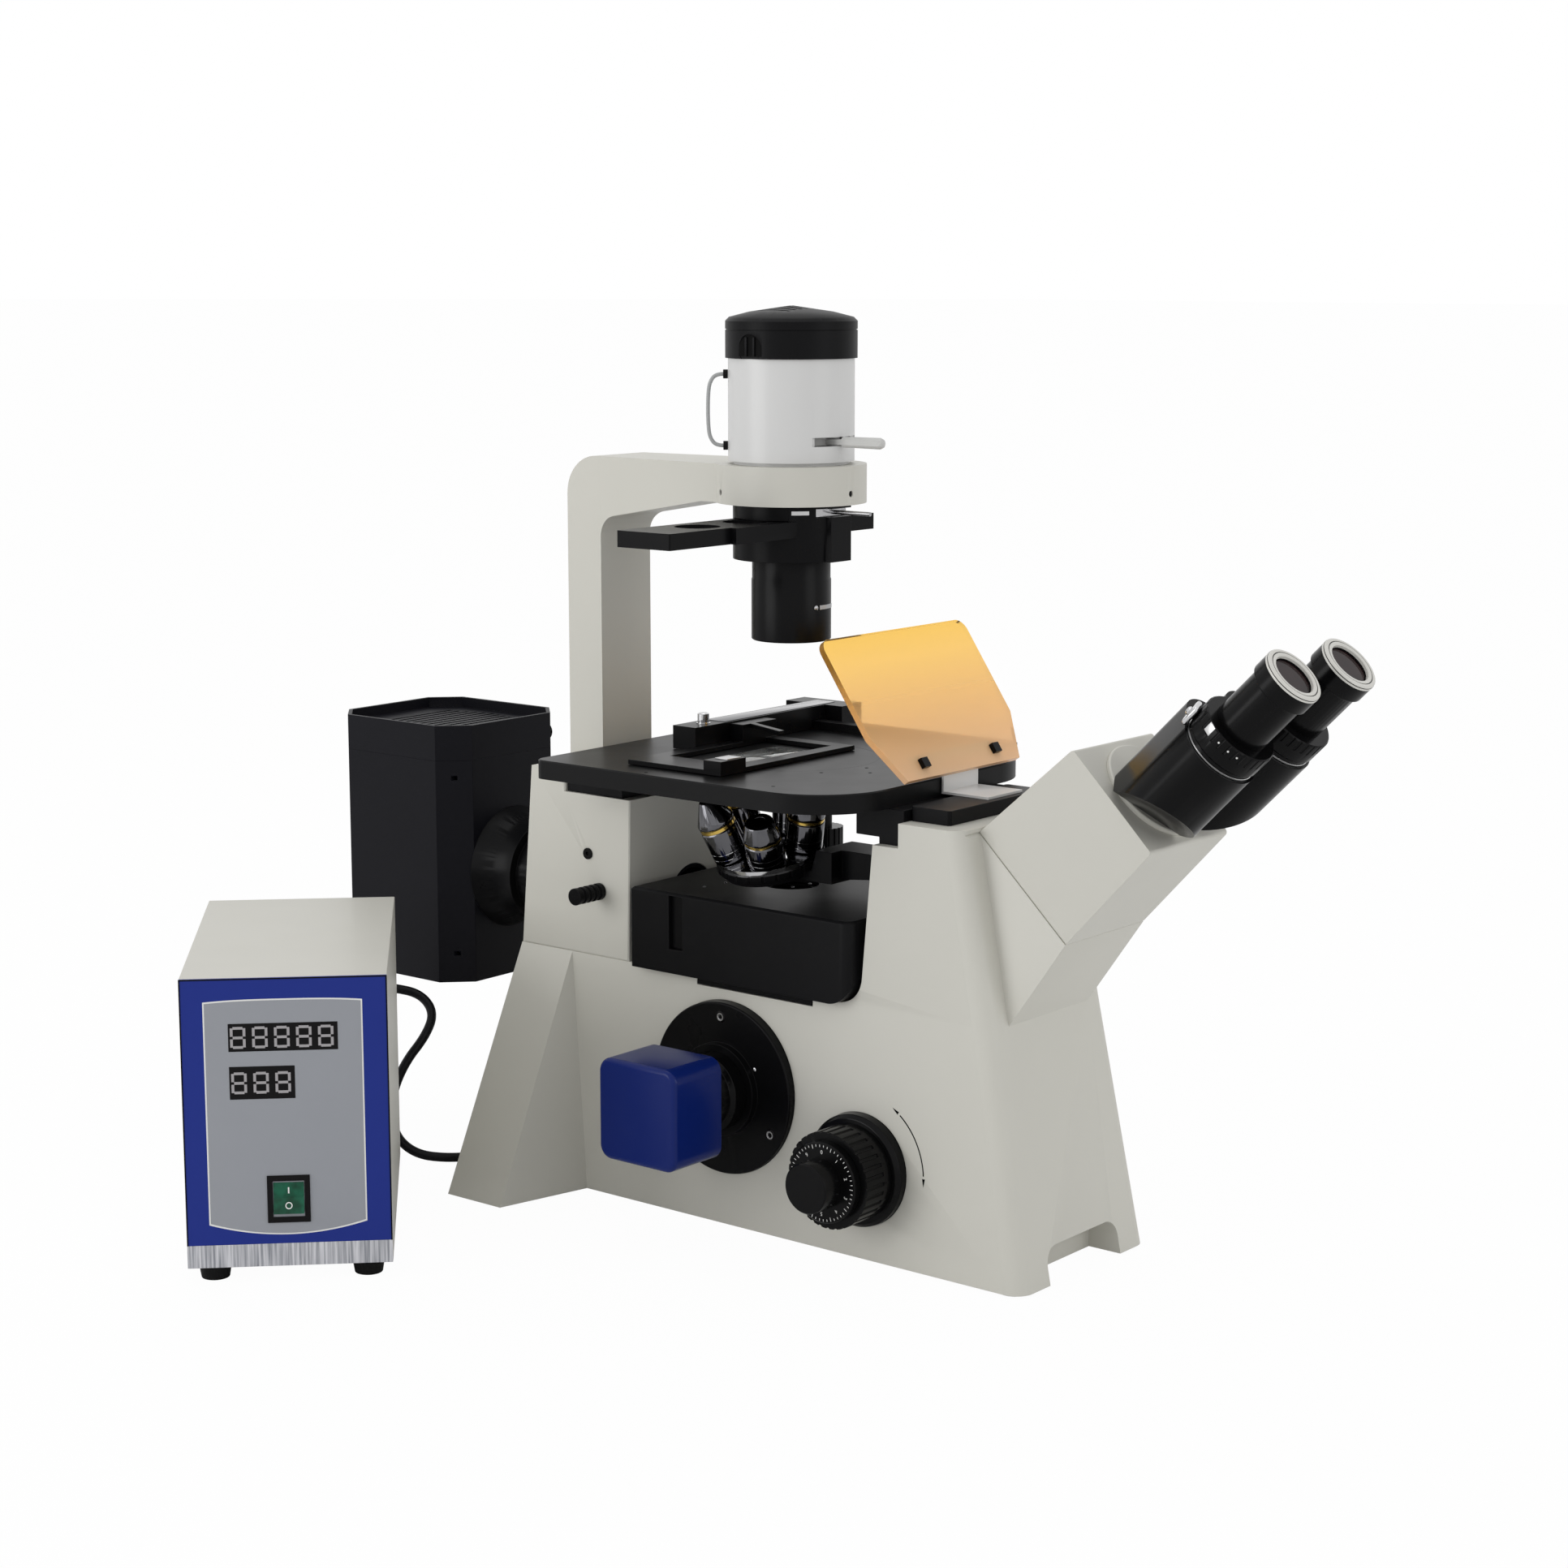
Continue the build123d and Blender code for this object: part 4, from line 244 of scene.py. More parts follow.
def shield_finish(low_z, high_z):
    """Amber that is milky and pink at the foot, clear and yellow at the top."""
    material, nodes, links, shader = start_finish("shield_amber", (1.0, 0.64, 0.15), 0, 0.05)
    place = nodes.new("ShaderNodeTexCoord")
    parts = nodes.new("ShaderNodeSeparateXYZ")
    links.new(place.outputs["Object"], parts.inputs["Vector"])
    height = parts.outputs["Z"]
    links.new(tint(nodes, links, ramp(nodes, links, height, 0, 1, low_z, high_z), SHIELD_FOOT, SHIELD_TOP),
              shader.inputs["Base Color"])
    haze = grain(nodes, links, HAZE_SCALE, HAZE_DETAIL)
    links.new(ramp(nodes, links, haze, 0.03, 0.08), shader.inputs["Roughness"])
    clear_z = low_z + CLEAR_FROM * (high_z - low_z)
    links.new(ramp(nodes, links, height, FOOT_CLEAR, TOP_CLEAR, low_z, clear_z),
              shader.inputs["Transmission Weight"])
    shader.inputs["IOR"].default_value = SHIELD_IOR
    return material


def strip_finish():
    """Bare metal with upright brush marks."""
    material, nodes, links, shader = start_finish("strip_silver", (0.6, 0.6, 0.62), 0.8, 0.35)
    brushed = grain(nodes, links, BRUSH_SCALE, BRUSH_DETAIL, BRUSH_STRETCH)
    links.new(tint(nodes, links, ramp(nodes, links, brushed, 0, 1), (0.30, 0.31, 0.34), (0.72, 0.72, 0.75)),
              shader.inputs["Base Color"])
    roughen(nodes, links, shader, brushed, BRUSH_BUMP)
    return material


lens_glass = drifting_finish("lens_glass", (0.55, 0.62, 0.75), 0.04, 60, (0.25, 0.3, 0.45), (0.55, 0.6, 0.75),
                             {"Transmission Weight": 0.55, "Coat Weight": 0.6, "IOR": 1.5})
eye_lens_glass = drifting_finish("eye_lens_glass", (0.03, 0.012, 0.014), 0.03, 60, (0.010, 0.004, 0.005),
                                 (0.022, 0.009, 0.010), {"Specular IOR Level": 0.15})
slide_glass = drifting_finish("slide_glass", (0.93, 0.96, 0.95), 0.03, 40, (0.88, 0.93, 0.92),
                              (0.96, 0.98, 0.97), {"Transmission Weight": 0.9, "IOR": 1.5})
rocker_green = drifting_finish("rocker_green", (0.01, 0.12, 0.06), 0.2, 150, (0.002, 0.045, 0.022),
                               (0.006, 0.105, 0.055), {"Specular IOR Level": 0.25})
strip_silver = strip_finish()
print("clear finishes ready")


# %% [markdown]
# ## Making and placing pieces
# A CAD solid arrives as loose triangles with hard flat shading. To dress one, its mesh is copied,
# its triangles are welded, flat neighbours are joined into whole faces, and a small bevel
# with smooth shading catches the light along every edge, as a real machined or cast edge does.

# %% Finishing and dressing a piece
SHARP_ANGLE, BEVEL_ANGLE, FLAT_ANGLE = math.radians(32), math.radians(35), math.radians(0.6)
BEVEL_STEPS = 2
NODE_WELD = 2e-6

bodies = frame["record"]["behaviour"]["bodies"]
body_of_node = {node: name for name, nodes in bodies.items() for node in nodes}


def finish_piece(name, bm, material, body, edge=0.0):
    """Makes a bmesh a piece that rides a body, with its edges rounded by so many millimetres."""
    mesh = bpy.data.meshes.new(name)
    bm.to_mesh(mesh)
    bm.free()
    mesh.materials.append(material)
    mesh.shade_smooth()
    mesh.set_sharp_from_angle(angle=SHARP_ANGLE)
    piece = bpy.data.objects.new(name, mesh)
    bpy.context.scene.collection.objects.link(piece)
    if edge:
        rounding = piece.modifiers.new("rounding", "BEVEL")
        rounding.width = edge * MM
        rounding.segments = BEVEL_STEPS
        rounding.limit_method = "ANGLE"
        rounding.angle_limit = BEVEL_ANGLE
        rounding.harden_normals = True
    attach(piece, body)
    return piece


def add_detail(name, bm, material, node):
    """A small piece that rides the body of a node."""
    return finish_piece(name, bm, material, body_of_node[node])


def node_copy(node):
    """A welded copy of a node's mesh, with its flat triangles joined."""
    bm = bmesh.new()
    bm.from_mesh(frame["nodes"][node].data)
    bmesh.ops.remove_doubles(bm, verts=bm.verts, dist=NODE_WELD)
    bmesh.ops.dissolve_limit(bm, angle_limit=FLAT_ANGLE, verts=bm.verts, edges=bm.edges)
    return bm


def dress(node, material, edge):
    """Replaces a CAD node by a welded, bevelled and smoothly shaded copy of itself."""
    piece = finish_piece(node + "_dressed", node_copy(node), material, body_of_node[node],
                         edge)
    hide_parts(node)


# %% [markdown]
# New details are laid out in millimetres on a place, which is a matrix that says where the detail's
# own X, Y and Z axes lie. Round things are turned from a profile of (radius, height) points.

# %% Places and plain shapes
SHAPE_WELD = 1e-6
BEVEL_ROUND, BEVEL_PROFILE = 3, 0.5
LETTER_ROUND, LETTER_RISE = 3, 0.00004
Z_AXIS, CENTRE = (0, 0, 1), (0, 0, 0)


def place_at(origin, x_dir=(1, 0, 0), z_dir=(0, 0, 1)):
    """A place from its origin in millimetres and the directions of its X and Z axes."""
    z = Vector(z_dir).normalized()
    x = Vector(x_dir).normalized()
    y = z.cross(x)
    matrix = Matrix((x, y, z)).transposed().to_4x4()
    matrix.translation = Vector(origin) * MM
    return matrix


def at(x, y, z=0, turn=0):
    """A place in millimetres on another place, turned about its Z axis in degrees."""
    return Matrix.Translation((x * MM, y * MM, z * MM)) @ Matrix.Rotation(math.radians(turn), 4, "Z")


def on_side(axis, angle, radius, height):
    """A place on the side of something round: X runs round it and Z points outwards."""
    return axis @ at(0, 0, 0, angle) @ place_at((radius, 0, height), (0, 1, 0), (1, 0, 0))


def on_circle(radius, turn):
    """Where a circle about the Z axis is, so many degrees on from the X axis."""
    return radius * math.cos(math.radians(turn)), radius * math.sin(math.radians(turn))


def lathe(profile, place, steps=96):
    """Turns a list of (radius, height) points in millimetres about the Z axis of a place."""
    bm = bmesh.new()
    points = [bm.verts.new((radius * MM, 0, height * MM)) for radius, height in profile]
    edges = [bm.edges.new(pair) for pair in zip(points, points[1:])]
    bmesh.ops.spin(bm, geom=points + edges, cent=CENTRE, axis=Z_AXIS, angle=math.tau, steps=steps,
                   use_merge=True)
    bmesh.ops.remove_doubles(bm, verts=bm.verts, dist=SHAPE_WELD)
    bmesh.ops.recalc_face_normals(bm, faces=bm.faces)
    bmesh.ops.transform(bm, matrix=place, verts=bm.verts)
    return bm


def brick(size, place, edge=0.0):
    """A box of the given size in millimetres, centred on its place, with its edges bevelled."""
    bm = bmesh.new()
    bmesh.ops.create_cube(bm, size=1)
    bmesh.ops.scale(bm, vec=[side * MM for side in size], verts=bm.verts)
    if edge:
        bmesh.ops.bevel(bm, geom=bm.edges, offset=edge * MM, segments=BEVEL_ROUND, profile=BEVEL_PROFILE,
                        affect="EDGES", material=-1)
    bmesh.ops.transform(bm, matrix=place, verts=bm.verts)
    return bm


def joined(shapes):
    """One bmesh from several, so that a pattern is one piece."""
    whole = bmesh.new()
    for bm in shapes:
        part = bpy.data.meshes.new("part")
        bm.to_mesh(part)
        bm.free()
        whole.from_mesh(part)
        bpy.data.meshes.remove(part)
    return whole


def disc(radius, height, place, steps=32):
    """A flat round of the given height that stands on its place."""
    return lathe([(0, 0), (radius, 0), (radius, height), (0, height)], place, steps)


def arc_band(inner, outer, height, place, start, end, steps=32):
    """A flat band in millimetres that runs round part of a circle, from start to end in degrees."""
    bm = bmesh.new()
    section = ((inner, 0), (outer, 0), (outer, height), (inner, height))
    face = bm.faces.new([bm.verts.new((radius * MM, 0, z * MM)) for radius, z in section])
    first = Matrix.Rotation(math.radians(start), 3, "Z")
    bmesh.ops.rotate(bm, cent=CENTRE, matrix=first, verts=bm.verts)
    bmesh.ops.spin(bm, geom=[face], cent=CENTRE, axis=Z_AXIS, angle=math.radians(end - start), steps=steps)
    bmesh.ops.recalc_face_normals(bm, faces=bm.faces)
    bmesh.ops.transform(bm, matrix=place, verts=bm.verts)
    return bm


def numeral(text, size, place):
    """A number as a thin printed shape, made a mesh before it is placed."""
    curve = bpy.data.curves.new("numeral", "FONT")
    curve.body = text
    curve.size = size * MM
    curve.align_x = "CENTER"
    curve.align_y = "CENTER"
    curve.resolution_u = LETTER_ROUND
    curve.extrude = LETTER_RISE
    holder = bpy.data.objects.new("numeral", curve)
    mesh = bpy.data.meshes.new_from_object(holder)
    bm = bmesh.new()
    bm.from_mesh(mesh)
    bpy.data.objects.remove(holder)
    bpy.data.meshes.remove(mesh)
    bmesh.ops.transform(bm, matrix=place, verts=bm.verts)
    return bm


print("shape helpers ready")


# %% [markdown]
# Some CAD nodes hold several solids that want different finishes, such as a black eyepiece with
# its dark lens. Those are taken apart by following the edges from corner to corner.

# %% Splitting a node and finding its surface
SPLIT_EDGE = 0.3


def loose_solids(whole):
    """Splits a mesh into its loose solids, in the order of their first corners."""
    whole.verts.index_update()
    taken = set()
    islands = []
    for start in whole.verts:
        if start in taken:
            continue
        reached = {start}
        frontier = [start]
        while frontier:
            vert = frontier.pop()
            near = {edge.other_vert(vert) for edge in vert.link_edges} - reached
            reached |= near
            frontier.extend(near)
        taken |= reached
        islands.append({vert.index for vert in reached})
    solids = []
    for island in islands:
        solid = whole.copy()
        others = [vert for vert in solid.verts if vert.index not in island]
        bmesh.ops.delete(solid, geom=others, context="VERTS")
        solids.append(solid)
    whole.free()
    return solids


def dress_split(node, choose, edge=SPLIT_EDGE):
    """Replaces a node of loose solids by one piece for each finish that choose(middle, size) names."""
    groups = {}
    for solid in loose_solids(node_copy(node)):
        low = Vector([min(vert.co[k] for vert in solid.verts) for k in range(3)]) / MM
        high = Vector([max(vert.co[k] for vert in solid.verts) for k in range(3)]) / MM
        groups.setdefault(choose((low + high) / 2, high - low), []).append(solid)
    for material, solids in groups.items():
        piece = finish_piece(node + "_" + material.name, joined(solids), material, body_of_node[node],
                             edge)
        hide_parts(node)
    print(node, "split into", len(groups), "finishes")


def surface_hit(node, start, direction):
    """Where a line in millimetres meets a node, and which way the surface faces there."""
    mesh = frame["nodes"][node].data
    tree = BVHTree.FromPolygons([vert.co.copy() for vert in mesh.vertices],
                                [tuple(face.vertices) for face in mesh.polygons])
    hit, normal, _, _ = tree.ray_cast(Vector(start) * MM, Vector(direction).normalized())
    return hit / MM, normal


# %% [markdown]
# ## Cords first
# The supply cable leaves the back of the lamp supply, drops to the bench behind the stand and
# rises into the lamp house. The line is one smooth spline whose control points are the route's points.

# %% Cables
SUPPLY_ROUTE = [
    (-125.37, 278.58, 116), (-114.05, 289.90, 116), (-95.5, 292.5, 115), (-78.5, 283.5, 112.5),
    (-68, 268.5, 108.5), (-68.5, 255.5, 97.5), (-80, 252.5, 84), (-94, 259, 67), (-102.5, 264, 44),
    (-104.7, 260.2, 20), (-97.6, 247.5, 6.5), (-83.4, 230.5, 3.4), (-62, 216, 3.4), (-34, 206, 3.4),
    (-4, 204, 3.4), (22, 212, 5), (38, 226, 14), (45, 243, 30), (44, 257, 51), (35, 266, 78), (35, 266, 103),
]
SUPPLY_RADIUS = 3.1
LEAD_ROUTE = [(42.3, 531), (45.3, 531), (49.1, 528.8), (51.7, 522), (51.7, 496), (49.1, 489.2), (45.3, 487),
              (42.3, 487)]
LEAD_RADIUS = 1.2
LEAD_ANGLE = math.radians(130)
CORD_ROUND, CORD_STEPS = 6, 10


def cord_piece(name, points, radius, material, node):
    """A round cord along its control points, all in millimetres."""
    curve = bpy.data.curves.new(name, "CURVE")
    curve.dimensions = "3D"
    curve.bevel_depth = radius * MM
    curve.bevel_resolution = CORD_ROUND
    curve.resolution_u = CORD_STEPS
    curve.use_fill_caps = True
    spline = curve.splines.new("NURBS")
    spline.points.add(len(points) - 1)
    for point, place in zip(spline.points, points):
        point.co = (*(value * MM for value in place), 1)
    spline.order_u = 3
    spline.use_endpoint_u = True
    curve.materials.append(material)
    piece = bpy.data.objects.new(name, curve)
    bpy.context.scene.collection.objects.link(piece)
    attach(piece, "stand")
    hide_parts(node)
    return piece


def spline_length(piece):
    """The length of a cord along its middle, in metres."""
    bare = piece.data.copy()
    bare.bevel_depth = 0
    probe = bpy.data.objects.new("probe", bare)
    mesh = bpy.data.meshes.new_from_object(probe)
    ends = [[mesh.vertices[index].co for index in edge.vertices] for edge in mesh.edges]
    length = sum((first - second).length for first, second in ends)
    bpy.data.objects.remove(probe)
    bpy.data.meshes.remove(mesh)
    return length


supply_cable = cord_piece("supply_cable_skin", SUPPLY_ROUTE, SUPPLY_RADIUS, cable_skin, "supply_cable")
supply_length = spline_length(supply_cable)
lead_points = [(r * math.cos(LEAD_ANGLE), r * math.sin(LEAD_ANGLE), z) for r, z in LEAD_ROUTE]
lamp_lead = cord_piece("lamp_lead_skin", lead_points, LEAD_RADIUS, lead_skin, "lamp_lead")
lead_length = spline_length(lamp_lead)
print("cable", round(supply_length, 3), "lead", round(lead_length, 3))


# %% [markdown]
# ## Dressing the solids
# Most pieces keep the shape of their solid. This table says which finish each one wears
# and how wide its edge rounding is, in millimetres: cast pieces are softer than machined ones.

# %% Finishes of the carried-over solids
shield_low, shield_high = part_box("shield")
shield_amber = shield_finish(shield_low.z, shield_high.z)
DRESSED = {
    "stand_casting": (cream_paint, 1.2), "rear_housing": (cream_paint, 0.8),
    "illumination_arm": (cream_paint, 1.0), "base_plate": (black_paint, 0.3),
    "rubber_feet": (rubber, 0.5), "optics": (lens_glass, 0.2), "lamps": (lens_glass, 0.2),
    "pull_rod": (black_anodised, 0.3), "lamp_shell": (white_enamel, 0.4), "lamp_cap": (black_paint, 0.4),
    "field_lever": (lever_grey, 0.8), "condenser": (black_anodised, 0.4),
    "phase_slider": (black_anodised, 0.4), "aperture_lever": (steel, 0.2),
    "stage_plate": (stage_black, 0.5), "stage_insert": (stage_black, 0.2),
    "stage_supports": (black_paint, 0.5), "y_carriage": (black_anodised, 0.4),
    "specimen_holder": (black_anodised, 0.3), "stage_knob_y": (black_moulded, 0.3),
    "stage_knob_x": (black_moulded, 0.3), "shield": (shield_amber, 0.5),
    "shield_bracket": (white_enamel, 0.2), "nosepiece_carrier": (black_paint, 0.5),
    "turret_dome": (chrome, 0.3), "turret_ring": (black_anodised, 0.3),
    **{f"objective_{number}": (dark_chrome, 0.3) for number in range(1, 6)},
    "focus_collars": (black_moulded, 0.5), "coarse_focus": (black_moulded, 0.3),
    "fine_focus": (black_moulded, 0.4), "filter_box": (black_paint, 0.6),
    "filter_slider": (black_anodised, 0.2), "filter_cube": (black_anodised, 0.3),
    "epi_tube": (black_anodised, 0.4), "lamphouse_shell": (black_crinkle, 0.9),
    "lamphouse_lid": (black_crinkle, 0.7), "lamphouse_knob": (black_moulded, 0.3),
    "prism_housing_left": (black_moulded, 0.8), "prism_housing_right": (black_moulded, 0.8),
    "diopter_ring_left": (black_moulded, 0.3), "diopter_ring_right": (black_moulded, 0.3),
    "port_flange": (black_anodised, 0.4), "camera_adapter": (black_moulded, 0.4),
    "camera_body": (camera_blue, 0.6), "supply_cover": (cream_paint, 0.5),
    "supply_chassis": (strip_silver, 0.3), "supply_panel": (panel_blue, 0.3),
    "supply_fittings": (window_and_shade_black, 0.3), "rocker_switch": (rocker_green, 0.3),
    "cable_glands": (rubber, 0.3),
}
for node, (material, edge) in DRESSED.items():
    dress(node, material, edge)
print("dressed", len(DRESSED))


# %% [markdown]
# Four nodes wear two finishes each. Their solids are told apart by size or by place: the turning
# disc on the head is narrower than the box, a lens is narrower than its tube, and the screws of
# the camera flange lie low on the camera side.

# %% Nodes with two finishes
HEAD_EDGE = 0.8
DISC_WIDTH, LENS_WIDTH = 70, 28
FLANGE_SIDE, FLANGE_HIGH = -62, 160

dress_split("head_box", lambda middle, size: silver_satin if size.x < DISC_WIDTH else cream_paint, HEAD_EDGE)
for node in ("eyepiece_left", "eyepiece_right"):
    dress_split(node, lambda middle, size: eye_lens_glass if size.x < LENS_WIDTH else black_moulded)
dress_split("machine_screws", lambda middle, size: steel if middle.x < FLANGE_SIDE and middle.z < FLANGE_HIGH
            else black_moulded)


# %% [markdown]
# ## The lamp head
# The field lever ends in a thick round grip, and each louvre of the black cap shows a dark arch of painted
# shade behind two upright ribs. The grip is turned from a profile and laid along the lever.

# %% Lever grip and louvre ribs
GRIP_START = -40.6
GRIP_PROFILE = ((0, 0), (2.6, 0), (3.3, 0.8), (3.5, 28.6), (2.7, 30.6), (1.4, 31.4), (0, 31.6))
lever_low, lever_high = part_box("field_lever")
lever_z = (lever_low.z + lever_high.z) / 2 / MM
grip = lathe(GRIP_PROFILE, place_at((0, GRIP_START, lever_z), (1, 0, 0), (0, -1, 0)), 48)
add_detail("field_lever_grip", grip, lever_grey, "field_lever")

LOUVRE_FLOOR, LOUVRE_LOW, LOUVRE_SPRING, LOUVRE_HALF = 39.8, 542.5, 547.0, 8.7
ARCH_INNER, ARCH_SKIN = 0.1, 0.12
RIB_SIZE, RIB_EDGE, RIB_OFFSET, RIB_RISE = (1.7, 11.6, 1.1), 0.3, 3, 1.4
drop = LOUVRE_SPRING - LOUVRE_LOW
arch_shades, ribs = [], []
for side in (-1, 1):
    face = place_at((side * LOUVRE_FLOOR, 0, LOUVRE_SPRING), (0, side, 0), (side, 0, 0))
    # The dark arch is painted shade: a thin black sheet where the louvre's opening lies in shadow.
    arch_shades.append(arc_band(ARCH_INNER, LOUVRE_HALF, ARCH_SKIN, face, 0, 180))
    arch_shades.append(brick((2 * LOUVRE_HALF, drop, ARCH_SKIN), face @ at(0, -drop / 2, ARCH_SKIN / 2)))
    for across in (-RIB_OFFSET, RIB_OFFSET):
        ribs.append(brick(RIB_SIZE, face @ at(across, RIB_RISE, RIB_SIZE[2] / 2), RIB_EDGE))
add_detail("lamp_cap_arch_shades", joined(arch_shades), ink_and_shade_black, "lamp_cap")
add_detail("lamp_cap_ribs", joined(ribs), black_paint, "lamp_cap")
print("louvre ribs", len(ribs))


# %% [markdown]
# ## Eyepieces
# Each eyepiece ends in a pale rubber guard round a dark lens, and stands in a knurled focusing ring
# with white index dots. All of these turn round the eyepiece's own axis, so they are laid out there:
# X points to the side, Z out towards the eye. The right one is the mirror image of the left one.

# %% Eyepiece guards, dots and clamps
HEAD = place_at((0, -267, 298), (1, 0, 0), (0, -1, 1))
EYE_SIDE, EYE_DROP, EYE_TOP = 31, 20, 134
GUARD_PROFILES = (
    ((12.7, -1.6), (13.0, -0.2), (13.7, 0.25), (15.2, 0.3), (15.4, -0.3)),
    ((15.8, -0.3), (15.9, 0.3), (17.3, 0.35), (18.2, -0.3), (18.5, -1.6), (18.5, -2.4)),
)
COLLAR_PROFILE = ((22.4, 69.4), (22.75, 69.6), (22.75, 70.4), (22.4, 70.6))
DOT_ANGLES, DOT_RADIUS, DOT_HEIGHT = (-171, -154, -139), 23.45, 84
DOT_SIZE, DOT_RISE, DOT_STEPS = 0.6, 0.25, 12
WINDOW_ANGLE, WINDOW_RADIUS, WINDOW_HEIGHT = 166, 23.2, 84.5
WINDOW_SIZE, WINDOW_EDGE = (5, 6.4, 0.8), 0.3
CLAMP_ANGLE, CLAMP_RADIUS, CLAMP_HEIGHT = 116, 25.4, 75.5
CLAMP_SIZE, CLAMP_EDGE = (11, 13, 3.2), 1.3
CLAMP_SCREW = ((0, 3.6), (1.6, 3.4), (2.6, 2.6), (2.6, 0))


def eye_side(eye, side, angle, radius, height):
    """A place on the side of an eyepiece, where the right one mirrors the angles of the left one."""
    return on_side(eye, 180 - angle if side > 0 else angle, radius, height)


for side, name in ((-1, "left"), (1, "right")):
    eye = HEAD @ at(side * EYE_SIDE, -EYE_DROP)
    guard = joined([lathe([(radius, EYE_TOP + height) for radius, height in profile], eye)
                    for profile in GUARD_PROFILES])
    add_detail(f"eyepiece_{name}_guard", guard, rim_white, f"eyepiece_{name}")
    dots = joined([disc(DOT_SIZE, DOT_RISE, eye_side(eye, side, angle, DOT_RADIUS, DOT_HEIGHT), DOT_STEPS)
                   for angle in DOT_ANGLES])
    add_detail(f"diopter_{name}_dots", dots, ink_white, f"diopter_ring_{name}")
    window_place = eye_side(eye, side, WINDOW_ANGLE, WINDOW_RADIUS, WINDOW_HEIGHT)
    window = brick(WINDOW_SIZE, window_place, WINDOW_EDGE)
    add_detail(f"diopter_{name}_window", window, silver_satin, f"diopter_ring_{name}")
    collar = lathe(COLLAR_PROFILE, eye)
    add_detail(f"prism_housing_{name}_collar", collar, silver_satin, f"prism_housing_{name}")
    clamp_place = eye_side(eye, side, CLAMP_ANGLE, CLAMP_RADIUS, CLAMP_HEIGHT)
    clamp = joined([brick(CLAMP_SIZE, clamp_place, CLAMP_EDGE), lathe(CLAMP_SCREW, clamp_place, 32)])
    add_detail(f"prism_housing_{name}_clamp", clamp, chrome, f"prism_housing_{name}")
print("eyepiece details made")


# %% [markdown]
# ## Objectives
# Every objective carries a gold band in the groove that its barrel already has, and two fine bright
# rings nearer its thread. The turret leans, and each objective leans out from the turret's axis by
# the same angle, so the working one stands upright and all the axes meet in one point, the apex.

# %% Objective bands
TURRET_TILT = 15
APEX_HEIGHT, APEX_LENGTH = 152.203, 90.797
OBJECTIVE_LENGTHS = (42, 40, 42, 31, 36)
BAND_LOW_SHARE, BAND_HIGH_SHARE, BAND_LOW_GAP, BAND_HIGH_GAP = 0.52, 0.60, 0.9, 0.1
BAND_INNER, BAND_OUTER, BAND_SLOPE = 11.1, 11.75, 0.15
RING_HEIGHTS = (3, 7)
RING_PROFILE = ((11.9, 0), (12.12, 0.15), (12.12, 0.55), (11.9, 0.7))
OBJECTIVE_STEPS = 64

lean = math.radians(TURRET_TILT)
turret = place_at((0, 0, APEX_HEIGHT), (math.cos(lean), 0, math.sin(lean)),
                  (-math.sin(lean), 0, math.cos(lean)))
for index, length in enumerate(OBJECTIVE_LENGTHS):
    node = f"objective_{index + 1}"
    turn = 360 / len(OBJECTIVE_LENGTHS) * index
    axis = turret @ at(0, 0, 0, turn) @ Matrix.Rotation(lean, 4, "Y") @ at(0, 0, APEX_LENGTH)
    low, high = length * BAND_LOW_SHARE + BAND_LOW_GAP, length * BAND_HIGH_SHARE - BAND_HIGH_GAP
    band = ((BAND_INNER, low), (BAND_OUTER, low + BAND_SLOPE), (BAND_OUTER, high - BAND_SLOPE),
            (BAND_INNER, high))
    add_detail(node + "_band", lathe(band, axis, OBJECTIVE_STEPS), gold_ring, node)
    raised = [[(radius, start + height) for radius, height in RING_PROFILE] for start in RING_HEIGHTS]
    rings = joined([lathe(profile, axis, OBJECTIVE_STEPS) for profile in raised])
    add_detail(node + "_rings", rings, chrome, node)
print("objective bands", len(OBJECTIVE_LENGTHS))


# %% [markdown]
# ## Focus knobs
# The fine focus knob carries a scale on its flange: white lines all round and a number at every tenth.
# One line is made once, then copied round the axis by turning its place.

# %% Focus scale
FOCUS_Y, FOCUS_Z, SCALE_X = -107, 57, 104
SCALE_LINES, LONG_EVERY, SCALE_NUMBERS = 50, 5, 10
LONG_LINE, SHORT_LINE, LINE_WIDTH, LINE_RISE = 2.4, 1.4, 0.4, 0.12
SCALE_RADIUS, NUMBER_RADIUS, NUMBER_SIZE = 23.6, 19.0, 3.4

scale_marks = []
for side in (-1, 1):
    dial = place_at((side * SCALE_X, FOCUS_Y, FOCUS_Z), (0, side, 0), (side, 0, 0))
    for index in range(SCALE_LINES):
        reach = LONG_LINE if index % LONG_EVERY == 0 else SHORT_LINE
        line_place = dial @ at(0, 0, 0, index * 360 / SCALE_LINES) @ at(SCALE_RADIUS - reach / 2, 0)
        scale_marks.append(brick((reach, LINE_WIDTH, LINE_RISE), line_place))
    for index in range(SCALE_NUMBERS):
        turn = 90 - index * 360 / SCALE_NUMBERS
        number_place = dial @ at(*on_circle(NUMBER_RADIUS, turn), 0, turn - 90)
        scale_marks.append(numeral(str(index), NUMBER_SIZE, number_place))
add_detail("fine_focus_scale", joined(scale_marks), ink_white, "fine_focus")
print("scale marks", len(scale_marks))


# %% [markdown]
# A curved arrow with two tips on the casting shows that the knob turns both ways. The casting's side
# slopes, so a ray finds the surface, and the arrow's place is laid flat on it round the knob's axis.

# %% Turning arrow
RAY_START = (-200, -150, 40)
ARROW_INNER, ARROW_OUTER, ARROW_RISE, ARROW_START, ARROW_END = 47.5, 48.3, 0.1, 5, 53
TIP_RADIUS, TIP_SIZE, TIP_SHAPE, TIP_RISE = 47.9, 2.2, (0.55, 1.6, 1), 0.08
TIPS = ((1, 180), (57, 0))

